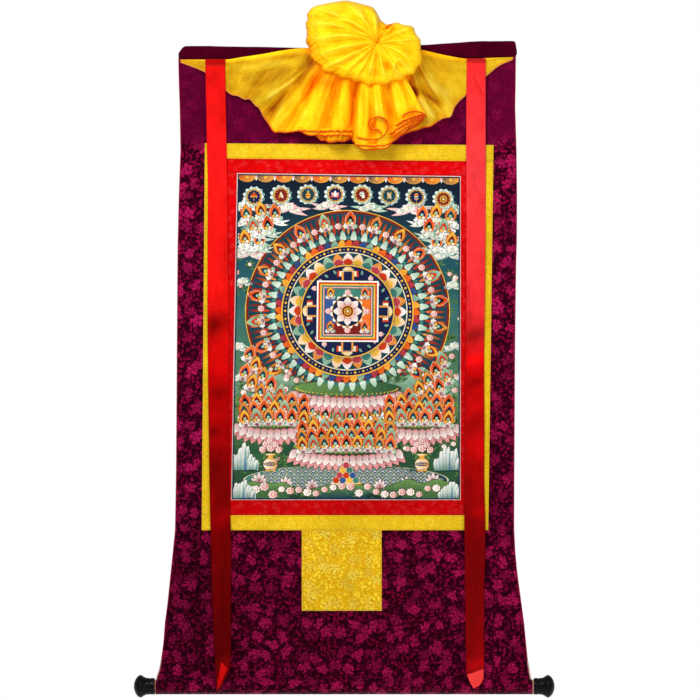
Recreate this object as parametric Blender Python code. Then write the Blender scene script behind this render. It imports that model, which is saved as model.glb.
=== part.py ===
"""Thangka hanging scroll with its dowel, in metres, +Z up.

The wall is the plane y = 0 and the front faces -Y. The origin is the middle of the heading's
top edge, at its back. "Depth" below is a distance in front of the wall, so y = -depth.
"""
import math

import bmesh
import bpy
from mathutils import Vector

MM = 0.001

# ---- driving dimensions, in millimetres ---------------------------------------------------
GROUND_THICK = 2.0          # brocade with its backing
STRIP_THICK = 1.2           # border strips and the door patch
CANVAS_THICK = 1.0
RIBBON_THICK = 1.0
SILK_THICK = 1.6
SEWN_GAP = 0.5              # between a strip and the cloth that it is sewn to
SEAM_GAP = 0.4              # between neighbouring strips

SEAM_Z = -22.5              # about where the cloth leaves the heading
SEAM_DEPTH = 9.0
SEAM_BELOW = 0.9            # between the heading's lower edge and the cloth
STITCH_Z = -1251.0          # where the dowel pocket is sewn
STITCH_DEPTH = 24.6

DOWEL_Z = -1271.0
DOWEL_DEPTH = 23.4
DOWEL_RADIUS = 13.4
POCKET_RADIUS = 15.0        # to the middle of the cloth
FLANGE_DEPTH = 22.2         # turned-back hem, behind the cloth
FLANGE_TOP_Z = -1243.0

HEADING_DEPTH = 16.0
HEADING_ROUND = 5.0

# Side edges of the brocade, top to stitch line.
#           z, x left, x right
GROUND_EDGES = [
    (-23, -336, 336.5),
    (-69, -335, 336),
    (-125, -333, 335),
    (-205, -331.5, 337.5),
    (-304, -335, 338.5),
    (-392, -337, 338),
    (-444, -337.5, 336.5),
    (-603, -338.5, 334.5),
    (-842, -340, 333),
    (-961, -342, 332.5),
    (-1001, -346, 334.5),
    (-1036, -349.5, 337.5),
    (-1061, -352, 340.5),
    (-1108, -357, 347),
    (-1144, -362, 352),
    (-1180, -364.5, 355.5),
    (-1215, -369, 359),
    (-1239, -373.5, 363),
    (-1251, -378, 365),
]
POCKET_LEFT, POCKET_RIGHT = -382.0, 371.0   # the pocket spreads a little beyond the cloth above it
POCKET_SPREAD = 60.0        # degrees round the dowel in which it does so
GROUND_ROWS = [-60, -100, -150, -205, -304, -444, -603, -720, -842, -961,
               -985, -1010, -1035, -1060, -1085, -1110, -1135, -1160, -1185, -1210, -1232, -1251]
GROUND_COLUMNS = 20

# Soft swells in the hanging cloth; a negative height is a trough.
#          x,    z, across, along, lean degrees, height
SWELLS = [
    (-308, -420, 26, 190, 2, 2.4),
    (-312, -800, 24, 150, -2, -2.0),
    (312, -330, 24, 160, -2, 2.2),
    (310, -760, 22, 170, 1, -2.2),
    (-322, -1080, 60, 90, 14, 5.0),
    (-235, -1120, 55, 80, 8, -3.2),
    (-150, -1110, 60, 90, -6, 3.6),
    (60, -1175, 70, 50, 0, -2.6),
    (165, -1105, 60, 95, 5, 3.4),
    (250, -1130, 45, 80, -8, -3.0),
    (318, -1085, 50, 95, -14, 4.4),
]
STIFF_LEFT, STIFF_RIGHT = -292.0, 292.0     # the lined middle that the borders cover
STIFF_TOP, STIFF_BOTTOM = -186.0, -966.0
STIFF_FADE = 45.0

# Heading, left to right.
#            x, top z, bottom z
HEADING_ROWS = [
    (-334.5, -10, -21.6),
    (-331, -5, -22),
    (-327, 0, -22),
    (-322, 2.8, -22),
    (-270, 2.5, -22),
    (-152, 0.5, -22),
    (-94, -1, -22),
    (0, 0, -22),
    (155, 5.3, -22),
    (206, 8.4, -21.4),
    (246, 11.4, -20.8),
    (266, 12.4, -20),
    (304, 12.5, -18.5),
    (331, 12.8, -18),
    (335, 10.5, -17.6),
    (336.6, 5, -17.2),
    (337.4, -3, -15),
]

# Frames of the borders: left, right, top and bottom at each corner.
#                    left top, left bottom, right top, right bottom, top left, top right, bottom
YELLOW_OUTER = (-283, -289, 292, 281, -191, -194.5, -961)
RED_OUTER = (-256, -262, 259, 253, -221.5, -227, -931)
PICTURE = (-219, -230.5, 226.5, 226, -250.5, -256.5, -901)
DOOR_PATCH = (-90, 69, -961.4, -1121)      # left, right, top, bottom

# Ribbons: edges and the air between the ribbon and what lies behind it.
#              z, x left, x right, standoff
RIBBON_LEFT = [
    (-24, -282, -242, 2.8),
    (-34, -282, -242, 4.4),
    (-50, -281.5, -242, 6.0),
    (-90, -281, -241, 7.5),
    (-130, -280, -240.5, 5.5),
    (-190, -279, -239.5, 3.6),
    (-284, -277, -238, 3.2),
    (-440, -277.5, -236, 4.0),
    (-603, -277, -234.5, 3.0),
    (-760, -275, -234.5, 4.2),
    (-861, -273.5, -234, 3.0),
    (-950, -271.5, -231, 4.4),
    (-1010, -270, -229.5, 5.0),
    (-1066, -269, -230, 3.6),
    (-1150, -266, -230.5, 4.6),
    (-1205, -263, -230, 6.0),
    (-1228, -261.5, -231, 11.0),
    (-1242, -261, -234, 16.5),
    (-1256, -260, -241.5, 19.5),
    (-1268, -259, -248, 19.5),
    (-1278, -258, -254, 18.5),
]
RIBBON_RIGHT = [
    (-22.8, 238, 276, 2.8),
    (-34, 238, 276, 4.4),
    (-50, 238, 276, 6.0),
    (-90, 237.5, 276, 7.0),
    (-130, 237, 276, 5.0),
    (-190, 237, 276, 3.6),
    (-284, 237, 276, 3.0),
    (-440, 237, 275, 4.2),
    (-603, 236.5, 273, 3.2),
    (-760, 234.5, 273, 3.6),
    (-861, 233, 273, 3.2),
    (-950, 233, 275, 4.6),
    (-1010, 233.5, 275, 4.2),
    (-1066, 234, 273, 3.4),
    (-1150, 235, 273, 4.4),
    (-1205, 236, 272.5, 6.0),
    (-1228, 236, 272.5, 11.0),
    (-1243, 237, 272, 16.5),
    (-1256, 241.5, 269.5, 19.5),
    (-1266, 246.5, 264, 19.5),
    (-1274, 251, 256, 19.0),
]
RIBBON_FLAP = 14.0          # turned-over top end
RIBBON_FLAP_GAP = 0.6
RIBBON_COLUMNS = 4
RIBBON_CROWN = 1.2          # a ribbon's middle stands a little proud of its edges

# Silk cover, fold by fold from its left tip to its right tip. The root is at the seam or
# under the rosette, and the hem is the free edge.
#      hem x, hem z, hem depth, root x, root z, root depth, bulge
SILK_FOLDS = [
    (-331, -30, 12, -332, -24.5, 11.6, 0),
    (-312, -37, 13, -312, -24.5, 11.6, 1),
    (-283, -49, 13, -286, -24.5, 11.6, 1),
    (-262, -64, 13, -262, -24.5, 11.8, 1),
    (-241, -85, 14, -238, -24, 12, 1),
    (-227, -95, 19, -206, -19.5, 19.5, 2),
    (-213, -100, 22, -166, -14, 23, 1),
    (-199, -103, 18, -130, -8, 26, -2),
    (-190, -108, 25, -98, -4, 29, 0),
    (-180, -117, 33, -66, -4, 34, 3),
    (-170, -131, 24, -58, -12, 36, -4),
    (-160, -147, 20, -54, -19, 37, -5),
    (-149, -165, 35, -50, -25, 39, 3),
    (-136, -171, 27, -45, -31, 40, -2),
    (-121, -170, 22, -41, -35, 40, -6),
    (-105, -169, 37, -36, -38, 41, 8),
    (-87, -172, 46, -30, -41, 42, 15),
    (-70, -177, 41, -22, -45, 43, 9),
    (-57, -181, 28, -15, -47, 43, -1),
    (-46, -187, 25, -9, -49, 43, -4),
    (-34, -190, 39, -3, -51, 44, 4),
    (-23, -190, 48, 3, -52, 46, 8),
    (-11, -189, 41, 9, -53, 46, 3),
    (1, -186, 27, 15, -54, 45, -4),
    (9, -184, 21, 21, -55, 44, -9),
    (17, -193, 39, 27, -56, 46, 2),
    (26, -203, 54, 33, -57, 48, 9),
    (39, -206, 51, 40, -57, 48, 5),
    (52, -206, 42, 47, -57, 48, 0),
    (65, -205, 55, 53, -57, 49, 9),
    (79, -202, 57, 60, -56, 50, 9),
    (91, -191, 40, 68, -55, 48, -2),
    (103, -180, 41, 75, -54, 48, -2),
    (117, -169, 56, 84, -52, 50, 8),
    (131, -159, 51, 91, -48, 50, 6),
    (141, -152, 43, 96, -45, 49, 1),
    (151, -144, 51, 100, -42, 50, 5),
    (157, -139, 45, 103, -39, 47, 1),
    (156, -141, 37, 105, -37, 43, -3),
    (146, -151, 32, 103, -37, 39.5, -3),
    (132, -161, 29, 101, -38, 36.5, -1),
    (118, -169, 25, 101, -38, 33.5, 0),
    (108, -175, 21, 104, -37, 30.5, -1),
    (112, -175, 17.5, 110, -35, 29, -2),
    (127, -168, 17, 115, -31, 28, -1),
    (146, -163, 22, 119, -27, 29, 1),
    (165, -159, 31, 122, -23, 31, 4),
    (180, -148, 22, 125, -19, 30, -3),
    (193, -142, 20, 127, -15, 30, -4),
    (205, -139, 29, 129, -11, 31, 2),
    (212, -124, 25, 131, -8, 29, 1),
    (220, -111, 18, 148, -6, 26, -2),
    (234, -97, 16, 194, -16, 20, 0),
    (256, -75, 14, 240, -23, 12.4, 1),
    (279, -55, 13.5, 268, -22, 11.8, 1),
    (304, -36, 13, 300, -20.5, 11.6, 1),
    (330, -24.5, 12, 331, -19.6, 11.6, 0),
]
SILK_STEPS = 2              # sections between two rows of the table
SILK_RINGS = 7              # sections from root to hem
FADE_IN = 0.8               # how early a pleat opens on its way down

# Rosette: pleats run out of one tied hub. Angles are anticlockwise from +X, as seen from
# the front.
HUB_X, HUB_Z, HUB_DEPTH = 60.0, 5.0, 56.0
#      angle at hub, angle at rim, rim radius, crest depth, dip to the next pleat, rim depth
ROSETTE_PLEATS = [
    (2, 4, 86, 78, 8, 50),
    (24, 25, 78, 76, 9, 46),
    (50, 46, 58, 68, 10, 44),
    (76, 73, 44, 60, 5, 44),
    (94, 97, 72, 84, 8, 46),
    (112, 127, 106, 96, 9, 50),
    (128, 152, 148, 97, 7, 50),
    (138, 165, 147, 100, 12, 50),
    (156, 178, 142, 102, 13, 52),
    (184, 192, 135, 99, 12, 54),
    (207, 207, 120, 97, 13, 58),
    (226, 224, 99, 92, 8, 60),
    (240, 239, 89, 88, 9, 62),
    (255, 256, 85, 89, 11, 64),
    (280, 281, 84, 91, 15, 66),
    (306, 303, 87, 93, 8, 68),
    (324, 320, 95, 91, 12, 66),
    (345, 337, 96, 82, 9, 58),
]
PLEAT_STEPS = 4             # sections round one pleat
ROSETTE_RINGS = 7
CREST_AT = 0.58             # share of the radius at which a pleat stands highest
DIP_FULL_AT = 0.4           # the dips open out of the hub up to here
DIP_GONE_BY = 0.3           # and close again this near the rim
SCALLOP = 4.0               # the rim dips this far between two pleats
ROSETTE_BACK_DEPTH = 19.5   # clear of the heading's front
BACK_SWELL = 10.0           # above the heading the puff reaches further back
BACK_SWELL_FROM, BACK_SWELL_TO = 8.0, 45.0

# Turned knobs: offset outwards from the end of the cloth, radius.
KNOB_PROFILE = [
    (0.4, 15.2),
    (1.4, 16.4),
    (9.0, 16.2),
    (10.0, 15.4),
    (11.5, 16.4),
    (16.0, 16.6),
    (20.0, 18.0),
    (24.0, 20.5),
    (27.0, 22.2),
    (28.6, 22.5),
    (31.0, 21.6),
    (34.0, 19.5),
    (37.0, 16.0),
    (39.5, 11.0),
    (41.0, 6.0),
    (41.6, 0.0),
]
KNOB_SOCKET_DEPTH = 16.0
KNOB_SOCKET_RADIUS = 13.9
ROUND_SEGMENTS = 24
DOWEL_TENON = 15.0          # how far the dowel reaches into a knob

# ---- colours ------------------------------------------------------------------------------
#          red, green, blue, roughness
FINISHES = {
    "maroon_brocade": (0.10, 0.004, 0.03, 0.62),
    "heading_cloth": (0.07, 0.003, 0.02, 0.66),
    "yellow_brocade": (0.80, 0.56, 0.04, 0.50),
    "red_brocade": (0.70, 0.012, 0.012, 0.55),
    "painted_canvas": (0.10, 0.22, 0.19, 0.72),
    "ribbon_satin": (0.55, 0.004, 0.006, 0.35),
    "cover_silk": (0.95, 0.62, 0.01, 0.42),
    "dowel_wood": (0.42, 0.27, 0.13, 0.60),
    "black_lacquer": (0.006, 0.006, 0.008, 0.22),
}


def point(x, depth, z):
    """A place given in millimetres as across, in front of the wall and up."""
    return Vector((x * MM, -depth * MM, z * MM))


def mix(a, b, t):
    return a + (b - a) * t


def ease(t):
    t = min(1.0, max(0.0, t))
    return t * t * (3.0 - 2.0 * t)


def read_table(rows, key, column):
    """Straight-line reading of a column at a value of the first one, held past both ends."""
    for start, end in zip(rows, rows[1:]):
        t = (key - start[0]) / (end[0] - start[0])
        if t <= 1:
            return mix(start[column], end[column], max(t, 0.0))
    return rows[-1][column]


def smoothed(rows, steps):
    """Rows on a smooth curve through the table's own rows."""
    out = []
    last = len(rows) - 1
    for i in range(last):
        before, start, end, after = rows[max(i - 1, 0)], rows[i], rows[i + 1], rows[min(i + 2, last)]
        for k in range(steps):
            t = k / steps
            out.append([
                0.5 * (2 * b + (c - a) * t + (2 * a - 5 * b + 4 * c - d) * t * t
                       + (3 * b - a - 3 * c + d) * t ** 3)
                for a, b, c, d in zip(before, start, end, after)
            ])
    out.append(list(rows[last]))
    return out


# ---- making objects -----------------------------------------------------------------------
def make_materials():
    made = {}
    for name, (red, green, blue, roughness) in FINISHES.items():
        material = bpy.data.materials.new(name)
        material.use_nodes = True
        shader = material.node_tree.nodes["Principled BSDF"]
        shader.inputs["Base Color"].default_value = (red, green, blue, 1.0)
        shader.inputs["Roughness"].default_value = roughness
        shader.inputs["Metallic"].default_value = 0.0
        made[name] = material
    return made


def add_object(name, points, faces, material, smooth_below=None):
    mesh = bpy.data.meshes.new(name)
    mesh.from_pydata(points, [], faces)
    shape = bmesh.new()
    shape.from_mesh(mesh)
    bmesh.ops.recalc_face_normals(shape, faces=shape.faces[:])
    shape.to_mesh(mesh)
    shape.free()
    mesh.materials.append(material)
    if smooth_below is not None:
        mesh.shade_smooth()
        mesh.set_sharp_from_angle(angle=math.radians(smooth_below))
    obj = bpy.data.objects.new(name, mesh)
    bpy.context.scene.collection.objects.link(obj)
    return obj


def grid_normals(grid):
    rows, columns = len(grid), len(grid[0])
    normals = []
    for r in range(rows):
        line = []
        for c in range(columns):
            along = grid[min(r + 1, rows - 1)][c] - grid[max(r - 1, 0)][c]
            across = grid[r][min(c + 1, columns - 1)] - grid[r][max(c - 1, 0)]
            line.append(along.cross(across).normalized())
        normals.append(line)
    return normals


def add_sheet(name, grid, thickness, material, smooth_below=None):
    """A closed sheet of even thickness on both sides of a grid of middle points."""
    rows, columns = len(grid), len(grid[0])
    normals = grid_normals(grid)
    half = thickness * MM / 2
    points = []
    for side in (1, -1):
        for line, line_normals in zip(grid, normals):
            points.extend(p + n * half * side for p, n in zip(line, line_normals))
    back = rows * columns

    def at(r, c):
        return r * columns + c

    faces = []
    for r in range(rows - 1):
        for c in range(columns - 1):
            ring = (at(r, c), at(r, c + 1), at(r + 1, c + 1), at(r + 1, c))
            faces.append(ring)
            faces.append(tuple(back + i for i in reversed(ring)))
    rim = [at(0, c) for c in range(columns)]
    rim += [at(r, columns - 1) for r in range(1, rows)]
    rim += [at(rows - 1, c) for c in range(columns - 2, -1, -1)]
    rim += [at(r, 0) for r in range(rows - 2, 0, -1)]
    for a, b in zip(rim, rim[1:] + rim[:1]):
        faces.append((a, back + a, back + b, b))
    return add_object(name, points, faces, material, smooth_below)


def add_turned(name, profile, axis_x, direction, material):
    """A body turned about the dowel's line; profile rows are offset and radius."""
    points, faces, rings = [], [], []
    for offset, radius in profile:
        ring = []
        count = ROUND_SEGMENTS if radius > 0 else 1
        for k in range(count):
            turn = 2 * math.pi * k / ROUND_SEGMENTS
            ring.append(len(points))
            points.append(point(axis_x + direction * offset,
                                DOWEL_DEPTH + radius * math.cos(turn),
                                DOWEL_Z + radius * math.sin(turn)))
        rings.append(ring)
    for a, b in zip(rings, rings[1:]):
        for k in range(ROUND_SEGMENTS):
            n = (k + 1) % ROUND_SEGMENTS
            if len(a) == 1:
                faces.append((a[0], b[k], b[n]))
            elif len(b) == 1:
                faces.append((a[k], a[n], b[0]))
            else:
                faces.append((a[k], a[n], b[n], b[k]))
    return add_object(name, points, faces, material, smooth_below=40)


# ---- brocade ground -----------------------------------------------------------------------
def stiffness(x, z):
    """1 under the borders and at the two sewn ends, 0 where the cloth hangs free."""
    outside = max(STIFF_LEFT - x, x - STIFF_RIGHT, z - STIFF_TOP, STIFF_BOTTOM - z, 0.0)
    ends = min(SEAM_Z - z, z - STITCH_Z)
    return max(1 - ease(outside / STIFF_FADE), 1 - ease(ends / STIFF_FADE))


def ground_depth(x, z):
    """Depth of the middle of the brocade."""
    hang = mix(SEAM_DEPTH, STITCH_DEPTH, (SEAM_Z - z) / (SEAM_Z - STITCH_Z))
    swell = 0.0
    for cx, cz, across, along, lean, height in SWELLS:
        turn = math.radians(lean)
        dx, dz = x - cx, z - cz
        side = (dx * math.cos(turn) + dz * math.sin(turn)) / across
        down = (dz * math.cos(turn) - dx * math.sin(turn)) / along
        swell += height * math.exp(-side * side - down * down)
    return hang + swell * (1 - stiffness(x, z))


def ground_front(x, z):
    return ground_depth(x, z) + GROUND_THICK / 2


def pocket_section():
    """Depth, z and spread of the hem, round the dowel and back up behind the stitch line."""
    section = []
    for degrees in range(14, 347, 23):
        turn = math.radians(degrees)
        spread = ease(min(degrees, 360 - degrees) / POCKET_SPREAD)
        section.append((DOWEL_DEPTH + POCKET_RADIUS * math.sin(turn),
                        DOWEL_Z + POCKET_RADIUS * math.cos(turn), spread))
    section.append((FLANGE_DEPTH, STITCH_Z - 2.6, 0.0))
    section.append((FLANGE_DEPTH, FLANGE_TOP_Z, 0.0))
    return section


def seam_z(x):
    """Top edge of the brocade, just under the heading."""
    return read_table(HEADING_ROWS, x, 2) - SEAM_BELOW


def build_ground(material):
    grid = []
    for row in [None] + GROUND_ROWS:
        left = read_table(GROUND_EDGES, row or SEAM_Z, 1)
        right = read_table(GROUND_EDGES, row or SEAM_Z, 2)
        line = []
        for c in range(GROUND_COLUMNS + 1):
            x = mix(left, right, c / GROUND_COLUMNS)
            z = row or seam_z(x)
            line.append(point(x, ground_depth(x, z), z))
        grid.append(line)
    for depth, z, spread in pocket_section():
        left = mix(read_table(GROUND_EDGES, z, 1), POCKET_LEFT, spread)
        right = mix(read_table(GROUND_EDGES, z, 2), POCKET_RIGHT, spread)
        grid.append([
            point(mix(left, right, c / GROUND_COLUMNS), depth, z)
            for c in range(GROUND_COLUMNS + 1)
        ])
    add_sheet("brocade_panel", grid, GROUND_THICK, material, smooth_below=60)


def build_heading(material):
    """A wrapped roll with a flat back against the wall."""
    points, faces = [], []
    corner_steps = 3
    around = 4 * (corner_steps + 1)
    for x, top, bottom in HEADING_ROWS:
        round_by = min(HEADING_ROUND, (top - bottom) / 2 - 0.5)
        centres = [
            (HEADING_DEPTH - round_by, top - round_by, 0),
            (HEADING_DEPTH - round_by, bottom + round_by, 90),
            (round_by, bottom + round_by, 180),
            (round_by, top - round_by, 270),
        ]
        for depth, z, start in centres:
            for k in range(corner_steps + 1):
                turn = math.radians(start + 90 * k / corner_steps)
                points.append(point(x, depth + round_by * math.sin(turn), z + round_by * math.cos(turn)))
    stations = len(HEADING_ROWS)
    for s in range(stations - 1):
        for k in range(around):
            n = (k + 1) % around
            a, b = s * around, (s + 1) * around
            faces.append((a + k, a + n, b + n, b + k))
    faces.append(tuple(range(around)))
    faces.append(tuple(range((stations - 1) * around, stations * around)))
    add_object("heading_roll", points, faces, material, smooth_below=50)


# ---- borders, painting and patch ----------------------------------------------------------
def add_flat_piece(name, corners, columns, rows, thickness, material):
    """A strip sewn on the ground. Corners: top left, top right, bottom right, bottom left."""
    (ax, az), (bx, bz), (cx, cz), (dx, dz) = corners
    grid = []
    for r in range(rows + 1):
        v = r / rows
        line = []
        for c in range(columns + 1):
            u = c / columns
            x = mix(mix(ax, bx, u), mix(dx, cx, u), v)
            z = mix(mix(az, bz, u), mix(dz, cz, u), v)
            line.append(point(x, ground_front(x, z) + SEWN_GAP + thickness / 2, z))
        grid.append(line)
    add_sheet(name, grid, thickness, material)


def frame_corners(frame, inset):
    left_top, left_bottom, right_top, right_bottom, top_left, top_right, bottom = frame
    return [
        (left_top + inset, top_left - inset),
        (right_top - inset, top_right - inset),
        (right_bottom - inset, bottom + inset),
        (left_bottom + inset, bottom + inset),
    ]


def crossing(a, b, c, d):
    """Where the line through a and b meets the line through c and d."""
    run_x, run_z = b[0] - a[0], b[1] - a[1]
    other_x, other_z = d[0] - c[0], d[1] - c[1]
    t = ((c[0] - a[0]) * other_z - (c[1] - a[1]) * other_x) / (run_x * other_z - run_z * other_x)
    return (a[0] + run_x * t, a[1] + run_z * t)


def build_border(colour, outer_frame, inner_frame, material):
    """Two full-width strips at the top and bottom and two shorter ones between them."""
    outer = frame_corners(outer_frame, 0.0)
    inner = frame_corners(inner_frame, -SEAM_GAP)
    gap = SEAM_GAP
    top_left = crossing(outer[0], outer[3], inner[0], inner[1])
    top_right = crossing(outer[1], outer[2], inner[0], inner[1])
    low_left = crossing(outer[0], outer[3], inner[3], inner[2])
    low_right = crossing(outer[1], outer[2], inner[3], inner[2])
    strips = {
        "top": [outer[0], outer[1], top_right, top_left],
        "bottom": [low_left, low_right, outer[2], outer[3]],
        "left": [(top_left[0], top_left[1] - gap), (inner[0][0], inner[0][1] - gap),
                 (inner[3][0], inner[3][1] + gap), (low_left[0], low_left[1] + gap)],
        "right": [(inner[1][0], inner[1][1] - gap), (top_right[0], top_right[1] - gap),
                  (low_right[0], low_right[1] + gap), (inner[2][0], inner[2][1] + gap)],
    }
    for side, corners in strips.items():
        columns, rows = (6, 2) if side in ("top", "bottom") else (2, 6)
        add_flat_piece(colour + "_" + side, corners, columns, rows, STRIP_THICK, material)


def build_door_patch(material):
    left, right, top, bottom = DOOR_PATCH
    corners = [(left, top), (right, top), (right, bottom), (left, bottom)]
    add_flat_piece("door_patch", corners, 5, 5, STRIP_THICK, material)


# ---- ribbons ------------------------------------------------------------------------------
def ribbon_base(x, z):
    """Front of what lies behind a ribbon: the ground, and the borders where they are."""
    raised = SEWN_GAP + STRIP_THICK
    return ground_front(x, max(z, STITCH_Z)) + raised


def build_ribbon(name, rows, material):
    grid = []

    def add_row(z, left, right, depth):
        line = []
        for c in range(RIBBON_COLUMNS + 1):
            u = c / RIBBON_COLUMNS
            crown = RIBBON_CROWN * (1 - (2 * u - 1) ** 2)
            line.append(point(mix(left, right, u), depth + crown, z))
        grid.append(line)

    top_z, left, right, _ = rows[0]
    seam_depth = ribbon_base(mix(left, right, 0.5), top_z) + rows[0][3]
    flap_depth = seam_depth + RIBBON_THICK + RIBBON_FLAP_GAP
    flap_end_depth = read_table(rows, top_z - RIBBON_FLAP, 3) + ribbon_base(left, top_z) + 1.8
    add_row(top_z - RIBBON_FLAP, left, right, flap_end_depth)
    add_row(top_z - RIBBON_FLAP / 2, left, right, mix(flap_depth, flap_end_depth, 0.55))
    add_row(top_z - 0.6, left, right, flap_depth)
    add_row(top_z, left, right, mix(seam_depth, flap_depth, 0.5))
    for z, left, right, standoff in smoothed(rows, 2):
        z = min(z, top_z - 0.6)
        add_row(z, left, right, ribbon_base(mix(left, right, 0.5), z) + standoff)
    add_sheet(name, grid, RIBBON_THICK, material, smooth_below=50)


# ---- silk cover ---------------------------------------------------------------------------
def build_silk_fan(material):
    """Wings and skirt, one pleated sheet from the seam and the rosette to its hem."""
    grid = []
    for ring in range(SILK_RINGS + 1):
        t = ring / SILK_RINGS
        line = []
        for hem_x, hem_z, hem_depth, root_x, root_z, root_depth, bulge in smoothed(SILK_FOLDS, SILK_STEPS):
            depth = mix(root_depth, hem_depth, t ** FADE_IN) + bulge * math.sin(math.pi * t)
            line.append(point(mix(root_x, hem_x, t), depth, mix(root_z, hem_z, t)))
        grid.append(line)
    return add_sheet("curtain", grid, SILK_THICK, material, smooth_below=70)


def rosette_spokes():
    """Hub angle, rim angle, radius, crest, rim depth and pleat share of every section."""
    first = ROSETTE_PLEATS[0]
    closing = (first[0] + 360, first[1] + 360) + first[2:]
    ring = ROSETTE_PLEATS + [closing]
    spokes = []
    for start, end in zip(ring, ring[1:]):
        for k in range(PLEAT_STEPS):
            t = k / PLEAT_STEPS
            hub, rim, radius, crest, height, edge = [mix(a, b, t) for a, b in zip(start, end)]
            valley = math.sin(math.pi * t) ** 1.6
            spokes.append((hub, rim, radius - SCALLOP * valley, crest, height * valley, edge))
    return spokes


def rosette_depth(share, crest, dip, edge):
    """A puff that climbs steeply out of the hub and rolls over to its rim."""
    if share < CREST_AT:
        inward = 1 - share / CREST_AT
        base = mix(HUB_DEPTH, crest, (1 - inward * inward) ** 0.6)
    else:
        outward = (share - CREST_AT) / (1 - CREST_AT)
        base = mix(edge, crest, math.sqrt(max(0.0, 1 - outward * outward)))
    opening = ease(share / DIP_FULL_AT) * ease((1 - share) / DIP_GONE_BY)
    return base - dip * opening


def rosette_back(z, share):
    swell = ease((z - BACK_SWELL_FROM) / (BACK_SWELL_TO - BACK_SWELL_FROM))
    return ROSETTE_BACK_DEPTH - BACK_SWELL * swell * (1 - share * share)


def build_rosette(material):
    """The gathered end of the cover, tied at its hub, as one pleated puff."""
    spokes = rosette_spokes()
    points = [point(HUB_X, HUB_DEPTH, HUB_Z)]
    rings = []
    stations = [(k / ROSETTE_RINGS, None) for k in range(1, ROSETTE_RINGS + 1)]
    stations += [(0.96, 0.5), (0.84, 0.12), (0.6, 0.0), (0.3, 0.0)]
    for share, back in stations:
        ring = []
        for hub, rim, radius, crest, dip, edge in spokes:
            turn = math.radians(mix(hub, rim, math.sqrt(share)))
            x = HUB_X + radius * share * math.cos(turn)
            z = HUB_Z + radius * share * math.sin(turn)
            if back is None:
                depth = rosette_depth(share, crest, dip, edge)
            else:
                depth = mix(rosette_back(z, share), edge, back)
            ring.append(len(points))
            points.append(point(x, depth, z))
        rings.append(ring)
    last = len(points)
    points.append(point(HUB_X, ROSETTE_BACK_DEPTH, HUB_Z))
    count = len(spokes)
    faces = []
    for k in range(count):
        n = (k + 1) % count
        faces.append((0, rings[0][n], rings[0][k]))
        for a, b in zip(rings, rings[1:]):
            faces.append((a[k], a[n], b[n], b[k]))
        faces.append((last, rings[-1][k], rings[-1][n]))
    return add_object("rosette_form", points, faces, material, smooth_below=70)


def build_curtain(material):
    fan = build_silk_fan(material)
    rosette = build_rosette(material)
    join = fan.modifiers.new("join rosette", "BOOLEAN")
    join.operation = "UNION"
    join.solver = "EXACT"
    join.object = rosette
    rosette.hide_render = True
    rosette.display_type = "WIRE"


# ---- dowel and knobs ----------------------------------------------------------------------
def build_dowel(material):
    left = POCKET_LEFT - DOWEL_TENON
    length = POCKET_RIGHT - POCKET_LEFT + 2 * DOWEL_TENON
    profile = [(0, 0), (0, DOWEL_RADIUS), (length, DOWEL_RADIUS), (length, 0)]
    add_turned("dowel", profile, left, 1, material)


def build_knobs(material):
    mouth = KNOB_PROFILE[0][0]
    socket = [(KNOB_SOCKET_DEPTH, 0.0), (KNOB_SOCKET_DEPTH, KNOB_SOCKET_RADIUS),
              (mouth, KNOB_SOCKET_RADIUS)]
    profile = socket + KNOB_PROFILE
    add_turned("knob_left", profile, POCKET_LEFT, -1, material)
    add_turned("knob_right", profile, POCKET_RIGHT, 1, material)


def main():
    for obj in list(bpy.data.objects):
        bpy.data.objects.remove(obj)
    finish = make_materials()
    build_ground(finish["maroon_brocade"])
    build_heading(finish["heading_cloth"])
    build_border("yellow", YELLOW_OUTER, RED_OUTER, finish["yellow_brocade"])
    build_border("red", RED_OUTER, PICTURE, finish["red_brocade"])
    add_flat_piece("canvas", frame_corners(PICTURE, 0.0), 6, 8, CANVAS_THICK, finish["painted_canvas"])
    build_door_patch(finish["yellow_brocade"])
    build_ribbon("ribbon_left", RIBBON_LEFT, finish["ribbon_satin"])
    build_ribbon("ribbon_right", RIBBON_RIGHT, finish["ribbon_satin"])
    build_curtain(finish["cover_silk"])
    build_dowel(finish["dowel_wood"])
    build_knobs(finish["black_lacquer"])


main()
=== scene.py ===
"""Looks of a thangka hanging scroll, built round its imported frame.

Sizes are in millimetres until a point is placed, and the frame is in metres: x across, z up.
"Depth" is a distance in front of the wall plane, so y = -depth.
"""
import math
import random

import bpy
import numpy as np
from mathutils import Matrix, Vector


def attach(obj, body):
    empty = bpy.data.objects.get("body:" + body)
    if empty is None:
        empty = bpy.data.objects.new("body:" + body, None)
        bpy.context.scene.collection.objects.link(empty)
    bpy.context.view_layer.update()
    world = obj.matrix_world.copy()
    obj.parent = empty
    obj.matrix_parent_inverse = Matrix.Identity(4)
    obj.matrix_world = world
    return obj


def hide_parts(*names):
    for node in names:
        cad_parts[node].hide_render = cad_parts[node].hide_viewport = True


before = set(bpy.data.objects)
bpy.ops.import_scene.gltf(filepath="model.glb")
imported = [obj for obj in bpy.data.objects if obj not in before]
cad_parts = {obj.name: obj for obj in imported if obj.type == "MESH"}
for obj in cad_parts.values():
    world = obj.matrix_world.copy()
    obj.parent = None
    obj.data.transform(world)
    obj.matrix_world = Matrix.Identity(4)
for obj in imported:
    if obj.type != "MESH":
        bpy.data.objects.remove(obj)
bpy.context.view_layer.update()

MM = 0.001
BODY = "root"

# ---- sizes shared with the frame ----------------------------------------------------------
GROUND_THICK = 2.0
STRIP_THICK = 1.2
CANVAS_THICK = 1.0
RIBBON_THICK = 0.8
SILK_THICK = 0.5
SEWN_GAP = 0.5
SEAM_GAP = 0.1

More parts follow.
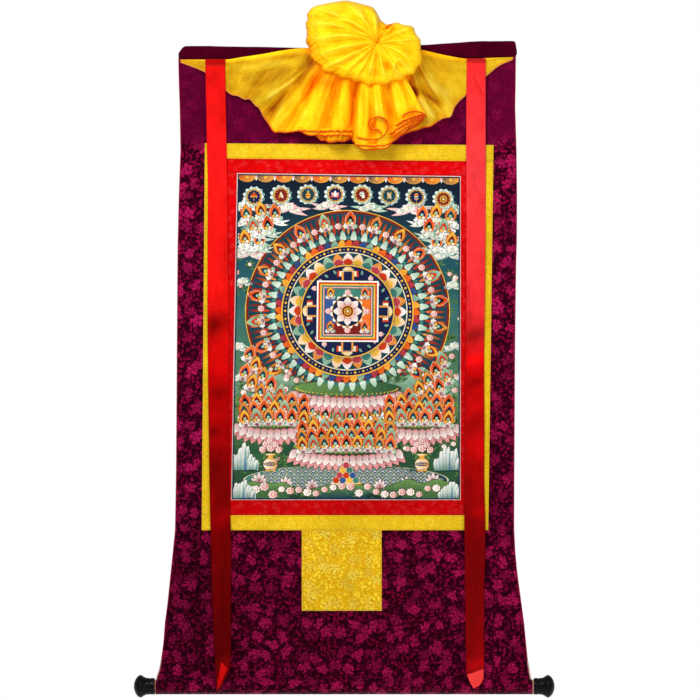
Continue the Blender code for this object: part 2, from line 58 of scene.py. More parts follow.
SEAM_Z, SEAM_DEPTH, SEAM_BELOW = -22.5, 9.0, 0.05
STITCH_Z, STITCH_DEPTH = -1251.0, 24.6
DOWEL_Z, DOWEL_DEPTH, POCKET_RADIUS = -1271.0, 23.4, 15.0
FLANGE_DEPTH, FLANGE_TOP_Z = 22.2, -1243.0
POCKET_LEFT, POCKET_RIGHT, POCKET_SPREAD = -382.0, 371.0, 60.0
HEADING_DEPTH, HEADING_ROUND = 16.0, 5.0

#           z, x left, x right
GROUND_EDGES = [
    (-23, -336, 336.5), (-69, -335, 336), (-125, -333, 335), (-205, -331.5, 337.5), (-304, -335, 338.5),
    (-392, -337, 338), (-444, -337.5, 336.5), (-603, -338.5, 334.5), (-842, -340, 333),
    (-961, -342, 332.5), (-1001, -346, 334.5), (-1036, -349.5, 337.5), (-1061, -352, 340.5),
    (-1108, -357, 347), (-1144, -362, 352), (-1180, -364.5, 355.5), (-1215, -369, 359),
    (-1239, -373.5, 363), (-1251, -378, 365),
]

# Swells in the hanging brocade; a negative height is a trough. The first eleven are the
# frame's own, and the rest are finer.
#     x,    z, across, along, lean degrees, height
SWELLS = [
    (-308, -420, 26, 190, 2, 2.4), (-312, -800, 24, 150, -2, -2), (312, -330, 24, 160, -2, 2.2),
    (310, -760, 22, 170, 1, -2.2), (-322, -1080, 60, 90, 14, 5), (-235, -1120, 55, 80, 8, -3.2),
    (-150, -1110, 60, 90, -6, 3.6), (60, -1175, 70, 50, 0, -2.6), (165, -1105, 60, 95, 5, 3.4),
    (250, -1130, 45, 80, -8, -3), (318, -1085, 50, 95, -14, 4.4), (-318, -110, 9, 60, 3, 0.9),
    (-306, -250, 7, 55, -4, -0.8), (322, -190, 8, 60, 2, 0.9), (305, -520, 7, 70, -2, -0.9),
    (-325, -620, 7, 60, 3, 0.9), (-330, -1160, 24, 6, -6, -1.5), (-305, -1205, 34, 5, 4, -1.3),
    (-180, -1215, 42, 6, -3, -1.1), (-40, -1130, 38, 9, 8, -1), (40, -1226, 50, 5, 2, -1),
    (150, -1200, 34, 6, -5, -1.2), (205, -1030, 9, 40, 12, -1), (300, -1190, 30, 6, 6, -1.3),
    (-200, -1030, 9, 46, -10, -1), (-120, -1000, 12, 34, 4, 0.9),
]
# Shade and light on the brocade: strength, x, half width, z, half height.
BROCADE_LIGHT = [(-0.32, -300, 130, -1110, 150), (0.22, 290, 110, -1090, 150), (-0.16, -320, 120, -90, 120)]
RAW_BELOW = -1222
STIFF_LEFT, STIFF_RIGHT, STIFF_TOP, STIFF_BOTTOM, STIFF_FADE = -292.0, 292.0, -186.0, -966.0, 45.0

#          x, top z, bottom z
HEADING_ROWS = [
    (-334.5, -10, -21.6), (-331, -5, -22), (-327, 0, -22), (-322, 2.8, -22), (-270, 2.5, -22),
    (-152, 0.5, -22), (-94, -1, -22), (0, 0, -22), (155, 5.3, -22), (206, 8.4, -21.4), (246, 11.4, -20.8),
    (266, 12.4, -20), (304, 12.5, -18.5), (331, 12.8, -18), (335, 10.5, -17.6), (336.6, 5, -17.2),
    (337.4, -3, -15),
]

#                left top, left bottom, right top, right bottom, top left, top right, bottom
YELLOW_OUTER = (-283, -289, 292, 281, -191, -194.5, -961)
RED_OUTER = (-256, -262, 259, 253, -221.5, -227, -931)
PICTURE = (-219, -230.5, 226.5, 226, -250.5, -256.5, -901)
DOOR_PATCH = (-90, 69, -961.15, -1121)      # left, right, top, bottom

#              z, x left, x right, standoff
RIBBON_LEFT = [
    (-24, -282, -242, 2.8), (-34, -282, -242, 4.4), (-50, -281.5, -242, 6), (-90, -281, -241, 7.5),
    (-130, -280, -240.5, 5.5), (-190, -279, -239.5, 3.6), (-284, -277, -238, 3.2),
    (-440, -277.5, -236, 4), (-603, -277, -234.5, 3), (-760, -275, -234.5, 4.2), (-861, -273.5, -234, 3),
    (-950, -271.5, -231, 4.4), (-1010, -270, -229.5, 5), (-1066, -269, -230, 3.6),
    (-1150, -266, -230.5, 4.6), (-1205, -263, -230, 6), (-1228, -261.5, -231, 11),
    (-1242, -261, -234, 16.5), (-1256, -260, -241.5, 19.5), (-1268, -259, -248, 19.5),
    (-1278, -258, -254, 18.5),
]
RIBBON_RIGHT = [
    (-22.8, 238, 276, 2.8), (-34, 238, 276, 4.4), (-50, 238, 276, 6), (-90, 237.5, 276, 7),
    (-130, 237, 276, 5), (-190, 237, 276, 3.6), (-284, 237, 276, 3), (-440, 237, 275, 4.2),
    (-603, 236.5, 273, 3.2), (-760, 234.5, 273, 3.6), (-861, 233, 273, 3.2), (-950, 233, 275, 4.6),
    (-1010, 233.5, 275, 4.2), (-1066, 234, 273, 3.4), (-1150, 235, 273, 4.4), (-1205, 236, 272.5, 6),
    (-1228, 236, 272.5, 11), (-1243, 237, 272, 16.5), (-1256, 241.5, 269.5, 19.5),
    (-1266, 246.5, 264, 19.5), (-1274, 251, 256, 19),
]
RIBBON_CROWN = 1.2

# Soft bands of sheen and shade where a ribbon bows or twists a little: z, x, half height, half
# width, strength.
RIBBON_BANDS = [
    (-548, -256, 22, 30, -0.5), (-556, -268, 30, 12, -0.3), (-641, -254, 14, 26, 0.2),
    (-688, -256, 13, 26, -0.5), (-737, -256, 12, 22, 0.35), (-764, -264, 9, 10, -0.4),
    (-786, -256, 9, 24, 0.25), (-836, -262, 16, 12, -0.25), (-905, -268, 22, 7, 0.6),
    (-936, -252, 18, 26, 0.95), (-60, -266, 14, 14, -0.2), (-122, -244, 26, 12, -0.2),
    (-395, -240, 70, 8, -0.2), (-573, 255, 14, 30, -0.55), (-538, 242, 20, 10, -0.3),
    (-622, 256, 12, 26, 0.6), (-666, 255, 10, 26, -0.45), (-690, 240, 8, 12, -0.2),
    (-714, 262, 9, 20, 0.3), (-752, 250, 14, 22, -0.2), (-792, 260, 20, 22, 0.45),
    (-812, 264, 9, 16, 0.3), (-870, 240, 26, 10, -0.3), (-925, 262, 12, 20, 0.5),
    (-1180, 262, 50, 12, 0.25), (-1226, 258, 12, 26, 0.8), (-1225, -240, 14, 10, 0.8),
    (-490, 240, 26, 9, -0.3),
]
# The folded tips: a facet of each catches the light, as x and z of its corners, clockwise.
TIP_FACETS = {
    "left": [(-249.8, -1222.4), (-232.6, -1238.2), (-249.9, -1264.2), (-256.3, -1279.2), (-258.7, -1276.8)],
    "right": [(236.6, -1247), (270.5, -1235.5), (271, -1256), (262.7, -1267), (250.3, -1273), (240, -1256)],
}

# Creases pressed in the ribbons: from, to, width and height; a negative height is a trough.
#       x,    z,    x,    z, width, height
RIBBON_CREASES = [
    (249, -54, 273, -101, 1.7, -2.4), (253, -52, 276, -97, 2.2, 1.6), (238, -300, 262, -420, 5, 0.8),
    (246, -240, 275, -330, 5, -0.7), (-262, -280, -250, -360, 5, 0.6), (-256, -205, -239, -300, 4, 0.8),
    (-262, -930, -258, -1190, 4, 1), (-246, -960, -244, -1200, 3.4, -0.8),
    (256, -905, 252, -1120, 4.5, -0.8), (264, -860, 262, -1010, 4, 0.7),
    (-261, -1232, -250, -1274, 2, 1.6), (246, -1222, 254, -1270, 2.4, 1.2),
]

# Silk cover, fold by fold from its left tip to its right tip.
#      hem x, hem z, hem depth, root x, root z, root depth, bulge
SILK_FOLDS = [
    (-331, -30, 12, -332, -24.5, 11.6, 0), (-312, -37, 13, -312, -24.5, 11.6, 1),
    (-283, -49, 13, -286, -24.5, 11.6, 1), (-262, -64, 13, -262, -24.5, 11.8, 1),
    (-241, -85, 14, -238, -24, 12, 1), (-227, -95, 19, -206, -19.5, 19.5, 2),
    (-213, -100, 22, -166, -14, 23, 1), (-199, -103, 18, -130, -8, 26, -2),
    (-190, -108, 25, -98, -4, 29, 0), (-180, -117, 33, -66, -4, 34, 3),
    (-170, -131, 24, -58, -12, 36, -4), (-160, -147, 20, -54, -19, 37, -5),
    (-149, -165, 35, -50, -25, 39, 3), (-136, -171, 27, -45, -31, 40, -2),
    (-121, -170, 22, -41, -35, 40, -6), (-105, -169, 37, -36, -38, 41, 8),
    (-87, -172, 46, -30, -41, 42, 15), (-70, -177, 41, -22, -45, 43, 9),
    (-57, -181, 28, -15, -47, 43, -1), (-46, -187, 25, -9, -49, 43, -4), (-34, -190, 39, -3, -51, 44, 4),
    (-23, -190, 48, 3, -52, 46, 8), (-11, -189, 41, 9, -53, 46, 3), (1, -186, 27, 15, -54, 45, -4),
    (9, -184, 21, 21, -55, 44, -9), (17, -193, 39, 27, -56, 46, 2), (26, -203, 54, 33, -57, 48, 9),
    (39, -206, 51, 40, -57, 48, 5), (52, -206, 42, 47, -57, 48, 0), (65, -205, 55, 53, -57, 49, 9),
    (79, -202, 57, 60, -56, 50, 9), (91, -191, 40, 68, -55, 48, -2), (103, -180, 41, 75, -54, 48, -2),
    (117, -169, 56, 84, -52, 50, 8), (131, -159, 51, 91, -48, 50, 6), (141, -152, 43, 96, -45, 49, 1),
    (151, -144, 51, 100, -42, 50, 5), (157, -139, 45, 103, -39, 47, 1), (156, -141, 37, 105, -37, 43, -3),
    (146, -151, 32, 103, -37, 39.5, -3), (132, -161, 29, 101, -38, 36.5, -1),
    (118, -169, 25, 101, -38, 33.5, 0), (108, -175, 21, 104, -37, 30.5, -1),
    (112, -175, 17.5, 110, -35, 29, -2), (127, -168, 17, 115, -31, 28, -1),
    (146, -163, 22, 119, -27, 29, 1), (165, -159, 31, 122, -23, 31, 4), (180, -148, 22, 125, -19, 30, -3),
    (193, -142, 20, 127, -15, 30, -4), (205, -139, 29, 129, -11, 31, 2), (212, -124, 25, 131, -8, 29, 1),
    (220, -111, 18, 148, -6, 26, -2), (234, -97, 16, 194, -16, 20, 0), (256, -75, 14, 240, -23, 12.4, 1),
    (279, -55, 13.5, 268, -22, 11.8, 1), (304, -36, 13, 300, -20.5, 11.6, 1),
    (330, -24.5, 12, 331, -19.6, 11.6, 0),
]
FADE_IN = 0.8

HUB_X, HUB_Z, HUB_DEPTH = 60.0, 5.0, 56.0
#      angle at hub, angle at rim, rim radius, crest depth, dip to the next pleat, rim depth
ROSETTE_PLEATS = [
    (2, 4, 86, 78, 8, 50), (24, 25, 78, 76, 9, 46), (50, 46, 58, 68, 10, 44), (76, 73, 44, 60, 5, 44),
    (94, 97, 72, 84, 8, 46), (112, 127, 106, 96, 9, 50), (128, 152, 148, 97, 7, 50),
    (138, 165, 147, 100, 12, 50), (156, 178, 142, 102, 13, 52), (184, 192, 135, 99, 12, 54),
    (207, 207, 120, 97, 13, 58), (226, 224, 99, 92, 8, 60), (240, 239, 89, 88, 9, 62),
    (255, 256, 85, 89, 11, 64), (280, 281, 84, 91, 15, 66), (306, 303, 87, 93, 8, 68),
    (324, 320, 95, 91, 12, 66), (345, 337, 96, 82, 9, 58),
]
CREST_AT, DIP_FULL_AT, DIP_GONE_BY, SCALLOP = 0.58, 0.4, 0.3, 4.0
SPIKE_ANGLE, SPIKE = 158.0, 3.0
ROUND_LENGTH = 0.565        # how far it is round the rosette's rim, in metres
ROSETTE_BACK_DEPTH, BACK_SWELL, BACK_SWELL_FROM, BACK_SWELL_TO = 19.5, 10.0, 8.0, 45.0

# Creases laid in the silk: start, middle and end of a curve, width and height.
#     x,  z,    x,   z,    x,    z, width, height
ROSETTE_CREASES = [
    (58, 24, 60, 44, 56, 64, 3.5, 5), (44, 20, 36, 52, 34, 76, 3, -2.6),
    (10, 26, -10, 50, -14, 74, 6, -2.6), (-22, 44, -34, 62, -30, 78, 5, -1.8),
    (44, 18, 10, 44, -66, 38, 3.6, 4.6), (44, 24, 14, 52, -56, 50, 5, -3),
    (-4, 50, -36, 62, -58, 66, 3.2, 3), (52, 14, 8, 20, -50, 10, 3.4, 4.4),
    (50, 15, 6, 31, -60, 24, 4, -3.6), (50, 8, 4, 8, -52, -4, 4, -3.2),
    (46, 2, 0, -4, -30, -14, 3.2, 4.2), (44, -4, 4, -16, -34, -28, 3.4, -3.4),
    (42, -10, 6, -26, -30, -41, 3.2, 4.4), (46, -16, 22, -38, -2, -56, 3.4, -3),
    (-62, -14, -50, -21, -38, -30, 2.4, 2.6), (-64, -37, -54, -43, -44, -49, 2.4, 2.6),
    (-66, -26, -52, -32, -42, -38, 2.2, -2.2), (56, -6, 48, -37, 40, -71, 2.8, 4.2),
    (52, -12, 34, -42, 22, -66, 3.6, -2.8), (60, -14, 57, -42, 56, -72, 3.4, -3.2),
    (64, -15, 70, -41, 76, -67, 2.8, 4.2), (76, -14, 82, -34, 84, -52, 6, -4.4),
    (100, -25, 94, -45, 90, -61, 2.6, 4), (75, -56, 83, -60, 90, -56, 2.6, 3.4),
    (64, 0, 101, -15, 137, -47, 3.8, 6), (74, -6, 98, -28, 112, -52, 4, -3),
    (72, 2, 106, -4, 140, -26, 5, -3.2), (64, 6, 86, 8, 145, 12, 3, 3.2),
    (66, 8, 86, 18, 106, 34, 3, 3.4), (70, 8, 100, 16, 134, 28, 4, -2.4),
    (66, 14, 76, 26, 82, 44, 2.6, -3.6),
]
FAN_CREASES = [
    (-72, -19, -169, -34, -238, -45, 4, 2.4), (-80, -26, -180, -44, -232, -55, 3.6, -2),
    (-72, -25, -195, -52, -231, -62, 4, 2.2), (-76, -34, -150, -64, -212, -86, 5, -2.4),
    (-70, -36, -118, -77, -179, -117, 3.6, 4), (-80, -61, -123, -100, -161, -138, 4.6, -4),
    (-68, -43, -113, -97, -146, -153, 3.6, 4.4), (-66, -52, -92, -96, -84, -148, 6, 3.6),
    (-86, -98, -88, -126, -80, -152, 9, 5), (-60, -60, -62, -110, -58, -164, 5, -3.2),
    (-34, -80, -34, -120, -27, -172, 3.4, 3.6), (-20, -80, -22, -120, -14, -170, 2.6, -2.4),
    (-10, -80, -12, -120, -4, -172, 2.8, 3), (8, -72, 10, -120, 4, -180, 2.6, -5),
    (20, -84, 23, -130, 22, -190, 3, 4), (30, -74, 34, -120, 33, -180, 3.2, -5.5),
    (48, -66, 56, -110, 58, -150, 8, 7), (46, -80, 48, -110, 46, -144, 1.8, 1.8),
    (62, -74, 68, -110, 70, -144, 1.8, 1.8), (78, -62, 86, -100, 88, -150, 3.6, -6),
    (92, -70, 118, -104, 136, -134, 4, 3.4), (86, -66, 104, -104, 118, -138, 4, -2.2),
    (155, -16, 203, -36, 236, -62, 4, 2), (150, -30, 200, -54, 236, -80, 5, -2.2),
    (147, -49, 198, -69, 234, -100, 5, 2.6), (142, -67, 178, -100, 203, -136, 5, -4.4),
    (132, -69, 163, -120, 183, -158, 3.4, 3.6),
]

# The gap between skirt and right wing, painted in deep shade.
DARK_WEDGE = [(118, -62, 128, -82, 144, -104, 5.0, 1.0)]

# Lit and shaded lines along the wings' folds: x and z of start, middle and end, width and shade.
WING_TONES = [
    (-96, -28, -160, -36, -226, -48, 5, -0.4), (-100, -46, -150, -62, -200, -80, 9, 0.22),
    (-98, -60, -132, -84, -168, -110, 5.5, -0.5), (-112, -82, -136, -108, -160, -132, 5, 0.3),
    (-106, -70, -128, -112, -144, -158, 4, -0.45), (135, -58, 176, -80, 216, -104, 12, -0.3),
    (126, -76, 160, -98, 198, -122, 7, 0.55), (138, -98, 158, -122, 178, -146, 5, -0.45),
    (150, -96, 176, -118, 196, -138, 2.5, -0.3),
]

# Painted amber shade and glow where many layers lie behind one another or in recesses: x, z, across, along,
# strength.
AMBER_SHADE_SPOTS = [
    (-76, 2, 9, 30, 0.4), (-66, -34, 14, 14, 0.3), (84, 40, 10, 12, 0.6), (-45, -70, 40, 20, 0.6),
    (14, -84, 13, 20, 0.5), (10, -130, 5, 50, 0.35), (76, -38, 9, 12, 0.4), (48, -64, 14, 9, 0.25),
    (130, -20, 14, 20, 0.2), (34, -130, 6, 40, 0.25), (84, -110, 6, 34, 0.25), (-8, 68, 6, 10, 0.2),
    (120, -150, 30, 24, 0.25), (56, -160, 14, 12, 0.35), (-40, -120, 34, 40, 0.15),
]

# Turned-up hems on the skirt: shift of the back edge in x and z, how frilled it is, and the
# front edge's path as x, z and standoff from the skirt.
FRILLS = [
    ((2.0, 3.0, 0.0), [
        (18, -182, 3), (38, -186, 8), (60, -186, 12), (76, -176, 14), (82, -161, 15), (76, -148, 15),
        (61, -143, 14), (46, -148, 13), (42, -158, 13), (49, -166, 13), (60, -168, 13), (67, -175, 13)]),
    ((-7, 7, 0.9), [(154, -139, 2), (141, -147, 3), (122, -160, 4), (100, -174, 5), (92, -183, 4)]),
    ((-7, 7, 0.9), [(154, -137, 3), (138, -144, 5), (118, -155, 6), (98, -167, 7), (86, -177, 6)]),
    ((-6, 7, 0.9), [(154, -136, 4), (136, -140, 7), (114, -149, 8), (97, -159, 9)]),
    ((-2, -6, 0.4), [(156, -137, 4), (140, -131, 8), (122, -133, 9), (109, -140, 7)]),
    ((0, 8, 1.3), [(-96, -168, 2), (-70, -170, 3), (-40, -169, 3), (-14, -170, 3), (10, -168, 2)]),
    ((0, 8, 1.2), [(-60, -176, 1.5), (-36, -178, 2), (-14, -177, 2), (10, -178, 1.5)]),
    ((0, 7, 0.6), [(16, -196, 2), (32, -199, 3), (54, -199, 3), (76, -198, 3), (90, -190, 2)]),
]

# Turned knobs: offset outwards from the end of the cloth, radius.
KNOB_PROFILE = [
    (0.4, 15.2), (1.4, 16.4), (9, 16.2), (10, 15.4), (11.5, 16.4), (16, 16.6), (20, 18), (24, 20.5),
    (27, 22.2), (28.6, 22.5), (31, 21.6), (34, 19.5), (37, 16), (39.5, 11), (41, 6), (41.6, 0.05),
]
KNOB_SOCKET_DEPTH, KNOB_SOCKET_RADIUS = 16.0, 13.9

# ---- camera and light ---------------------------------------------------------------------
VIEW_WIDTH = 1393.0         # what the camera's frame spans at the cloth
VIEW_X, VIEW_Z = 6.0, -602.6
VIEW_DEPTH = 15.0           # the cloth's own depth, where the scale holds
LENS, SENSOR = 200.0, 36.0
FLOOR_Z, FLOOR_HALF_WIDTH, FLOOR_REACH = -1750.0, 3500.0, 3200.0


# ---- small helpers ------------------------------------------------------------------------
def tone(red, green, blue, alpha=1.0):
    """A screen colour, 0 to 255, as the linear one that Blender reads."""
    linear = []
    for value in (red, green, blue):
        share = value / 255
        linear.append(share / 12.92 if share <= 0.04045 else ((share + 0.055) / 1.055) ** 2.4)
    return (*linear, alpha)


def mix(a, b, t):
    return a + (b - a) * t


def ease(t):
    t = np.clip(t, 0.0, 1.0)
    return t * t * (3.0 - 2.0 * t)


def place(x, depth, z):
    """Points in metres from arrays of millimetres."""
    x, depth, z = np.broadcast_arrays(x, depth, z)
    return np.stack([x, -depth, z], -1) * MM


def read_table(rows, key, column):
    """Straight-line reading of a column at values of the first one."""
    table = np.array(sorted(rows), float)
    return np.interp(key, table[:, 0], table[:, column])


def smoothed(rows, steps):
    """Rows on a smooth curve through the table's own rows."""
    rows = np.array(rows, float)
    a, b = np.vstack([rows[:1], rows[:-2]]), rows[:-1]
    c, d = rows[1:], np.vstack([rows[2:], rows[-1:]])
    parts = []
    for k in range(steps):
        t = k / steps
        parts.append(0.5 * (2 * b + (c - a) * t + (2 * a - 5 * b + 4 * c - d) * t * t
                            + (3 * b - a - 3 * c + d) * t ** 3))
    return np.vstack([np.stack(parts, 1).reshape(-1, rows.shape[1]), rows[-1:]])


def ripples(value, seed, shortest, longest, waves=9):
    """An uneven wavy line of about unit height, the same on each run."""
    draw = random.Random(seed)
    total = np.zeros_like(value, dtype=float)
    for _ in range(waves):
        length = mix(shortest, longest, draw.random())
        total += math.sqrt(length / longest) * np.sin(value * 2 * math.pi / length + draw.random() * 6.3)
    return total / math.sqrt(waves)


def crease_height(x, z, creases):
    """Ridges and troughs along bent lines, seen from the front."""
    total = np.zeros_like(x, dtype=float)
    for *line, width, height in creases:
        stops = np.array(line, float).reshape(-1, 2)
        if len(stops) == 3:
            t = np.linspace(0, 1, 9)[:, None]
            stops = stops[0] * (1 - t) ** 2 + (stops[1] * 2 - (stops[0] + stops[2]) / 2) * 2 * t * (1 - t) \
                + stops[2] * t ** 2
        reach = 3.2 * width
        near = (x > stops[:, 0].min() - reach) & (x < stops[:, 0].max() + reach) \
            & (z > stops[:, 1].min() - reach) & (z < stops[:, 1].max() + reach)
        near_x, near_z = x[near], z[near]
        nearest = np.full(near_x.shape, 1e9)
        share = np.zeros(near_x.shape)
        for i, (start, end) in enumerate(zip(stops, stops[1:])):
            run = end - start
            t = np.clip(((near_x - start[0]) * run[0] + (near_z - start[1]) * run[1]) / (run @ run), 0, 1)
            gap = np.hypot(near_x - start[0] - run[0] * t, near_z - start[1] - run[1] * t)
            closer = gap < nearest
            nearest = np.where(closer, gap, nearest)
            share = np.where(closer, (i + t) / (len(stops) - 1), share)
        fade = ease(share / 0.18) * ease((1 - share) / 0.25)
        total[near] += height * fade * np.exp(-(nearest / width) ** 1.5)
    return total


# ---- meshes -------------------------------------------------------------------------------
def add_mesh(name, points, faces, finishes, finish_of=None, flat=False):
    mesh = bpy.data.meshes.new(name)
    mesh.from_pydata(np.asarray(points, float).tolist(), [], faces)
    for finish in finishes:
        mesh.materials.append(finish)
    if finish_of is not None:
        mesh.polygons.foreach_set("material_index", np.asarray(finish_of, np.int32))
    if not flat:
        mesh.shade_smooth()
    piece = bpy.data.objects.new(name, mesh)
    bpy.context.scene.collection.objects.link(piece)
    return piece


def add_cloth_place(piece, spots, round_length=None):
    """Where each point lies on the uncut cloth, in metres, as a UV layer. round_length: how
    long the way round is where the cloth meets itself."""
    mesh = piece.data
    corner = np.zeros(len(mesh.loops), np.int32)
    mesh.loops.foreach_get("vertex_index", corner)
    corner_spots = np.asarray(spots, np.float32)[corner]
    if round_length:
        first = np.zeros(len(mesh.polygons), np.int32)
        mesh.polygons.foreach_get("loop_start", first)
        furthest = np.maximum.reduceat(corner_spots[:, 0], first)
        furthest = np.repeat(furthest, np.diff(np.append(first, len(corner))))
        corner_spots[:, 0] += round_length * (furthest - corner_spots[:, 0] > round_length / 2)
    mesh.uv_layers.new(name="cloth").data.foreach_set("uv", corner_spots.ravel())


def add_measure(piece, name, values):
    attribute = piece.data.attributes.new(name, "FLOAT", "POINT")
    attribute.data.foreach_set("value", np.asarray(values, np.float32))


def grid_normals(grid):
    normal = np.cross(np.gradient(grid, axis=0), np.gradient(grid, axis=1))
    return normal / np.maximum(np.linalg.norm(normal, axis=-1, keepdims=True), 1e-12)


def rim_of(rows, columns):
    """The grid's border, clockwise as seen from the front."""
    rim = [(0, c) for c in range(columns)]
    rim += [(r, columns - 1) for r in range(1, rows)]
    rim += [(rows - 1, c) for c in range(columns - 2, -1, -1)]
    rim += [(r, 0) for r in range(rows - 2, 0, -1)]
    return rim


def tube_faces(rings, around, first=0):
    """Faces of a closed tube whose rings of points follow one another, with both its ends."""
    faces = []
    for s in range(rings - 1):
        for k in range(around):
            n = (k + 1) % around
            a, b = first + s * around, first + (s + 1) * around
            faces.append((a + k, a + n, b + n, b + k))
    faces.append(tuple(range(first + around - 1, first - 1, -1)))
    faces.append(tuple(range(first + (rings - 1) * around, first + rings * around)))
    return faces


def cloth_parts(grid, cloth, thickness):
    """Points, faces, kinds (0 front, 1 back, 2 edge) and cloth places of a closed, round-edged
    cloth on both sides of a grid of middle points. Also each point's place in the grid."""
    rows, columns, _ = grid.shape
    normals = grid_normals(grid)
    half = thickness * MM / 2
    inner = grid.copy()
    inner[0] += half * unit(grid[1] - grid[0])
    inner[-1] += half * unit(grid[-2] - grid[-1])
    inner[:, 0] += half * unit(grid[:, 1] - grid[:, 0])
    inner[:, -1] += half * unit(grid[:, -2] - grid[:, -1])
    rim = rim_of(rows, columns)
    rim_rows, rim_columns = np.array(rim).T
    points = np.vstack([
        (inner + normals * half).reshape(-1, 3),
        (inner - normals * half).reshape(-1, 3),
        grid[rim_rows, rim_columns],
    ])
    index = np.arange(rows * columns).reshape(rows, columns)
    quads = np.stack([index[:-1, :-1], index[1:, :-1], index[1:, 1:], index[:-1, 1:]], -1).reshape(-1, 4)
    back = rows * columns
    faces = quads.tolist() + (quads[:, ::-1] + back).tolist()
    kinds = [0] * len(quads) + [1] * len(quads)
    front_rim = index[rim_rows, rim_columns]
    for i, a in enumerate(front_rim):
        j = (i + 1) % len(rim)
        b, a_mid, b_mid = front_rim[j], 2 * back + i, 2 * back + j
        faces.append([int(a), int(b), b_mid, a_mid])
        faces.append([a_mid, b_mid, int(b) + back, int(a) + back])
        kinds += [2, 2]
    source = np.concatenate([index.ravel(), index.ravel(), front_rim])
    spots = cloth.reshape(-1, 2)[source]
    return points, faces, kinds, spots, source


def unit(vectors):
    return vectors / np.maximum(np.linalg.norm(vectors, axis=-1, keepdims=True), 1e-12)


def cloth_lengths(grid, across=None):
    """A cloth place for each grid point: across and along, from the mean spacing."""
    along = np.linalg.norm(np.diff(grid, axis=0), axis=-1).mean(1)
    v = np.concatenate([[0], np.cumsum(along)])[:, None]
    if across is None:
        step = np.linalg.norm(np.diff(grid, axis=1), axis=-1).mean(0)
        across = np.concatenate([[0], np.cumsum(step)])[None, :]
    return np.stack(np.broadcast_arrays(across, -v), -1)


def edge_distance(cloth):
    """Millimetres from each grid point to the nearest edge of its cloth."""
    u, v = cloth[..., 0], cloth[..., 1]
    sides = np.minimum(u - u[:, :1], u[:, -1:] - u)
    ends = np.minimum(np.abs(v - v[:1]), np.abs(v[-1:] - v))
    return np.minimum(np.abs(sides), ends) / MM


def add_cloth(name, grid, thickness, finishes, cloth=None, measures=None):
    if cloth is None:
        cloth = cloth_lengths(grid)
    points, faces, kinds, spots, source = cloth_parts(grid, cloth, thickness)
    piece = add_mesh(name, points, faces, finishes, np.array(kinds) % len(finishes))
    add_cloth_place(piece, spots)
    add_measure(piece, "edge", edge_distance(cloth).ravel()[source])
    for label, values in (measures or {}).items():
        add_measure(piece, label, values.ravel()[source])
    return piece


def hand_over(piece, slot, *nodes):
    """The piece rides on the scroll and stands for its nodes, which it hides; its slot is not used."""
    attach(piece, BODY)
    if nodes:
        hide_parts(*nodes)
    return piece


# ---- shader helpers -----------------------------------------------------------------------
class Signal:
    """An output of a node. + - * / between signals and numbers add Math nodes."""

    def __init__(self, wire, socket):
        self.wire, self.socket = wire, socket


for sign, operation in (("add", "ADD"), ("sub", "SUBTRACT"), ("mul", "MULTIPLY"), ("truediv", "DIVIDE")):
    setattr(Signal, f"__{sign}__", lambda a, b, kind=operation: a.wire.math(kind, a, b))
    setattr(Signal, f"__r{sign}__", lambda a, b, kind=operation: a.wire.math(kind, b, a))


class Outputs:
    """A node's outputs as signals, by name or place."""

    def __init__(self, wire, node):
        self.wire, self.node = wire, node

    def __getitem__(self, key):
        return Signal(self.wire, self.node.outputs[key])


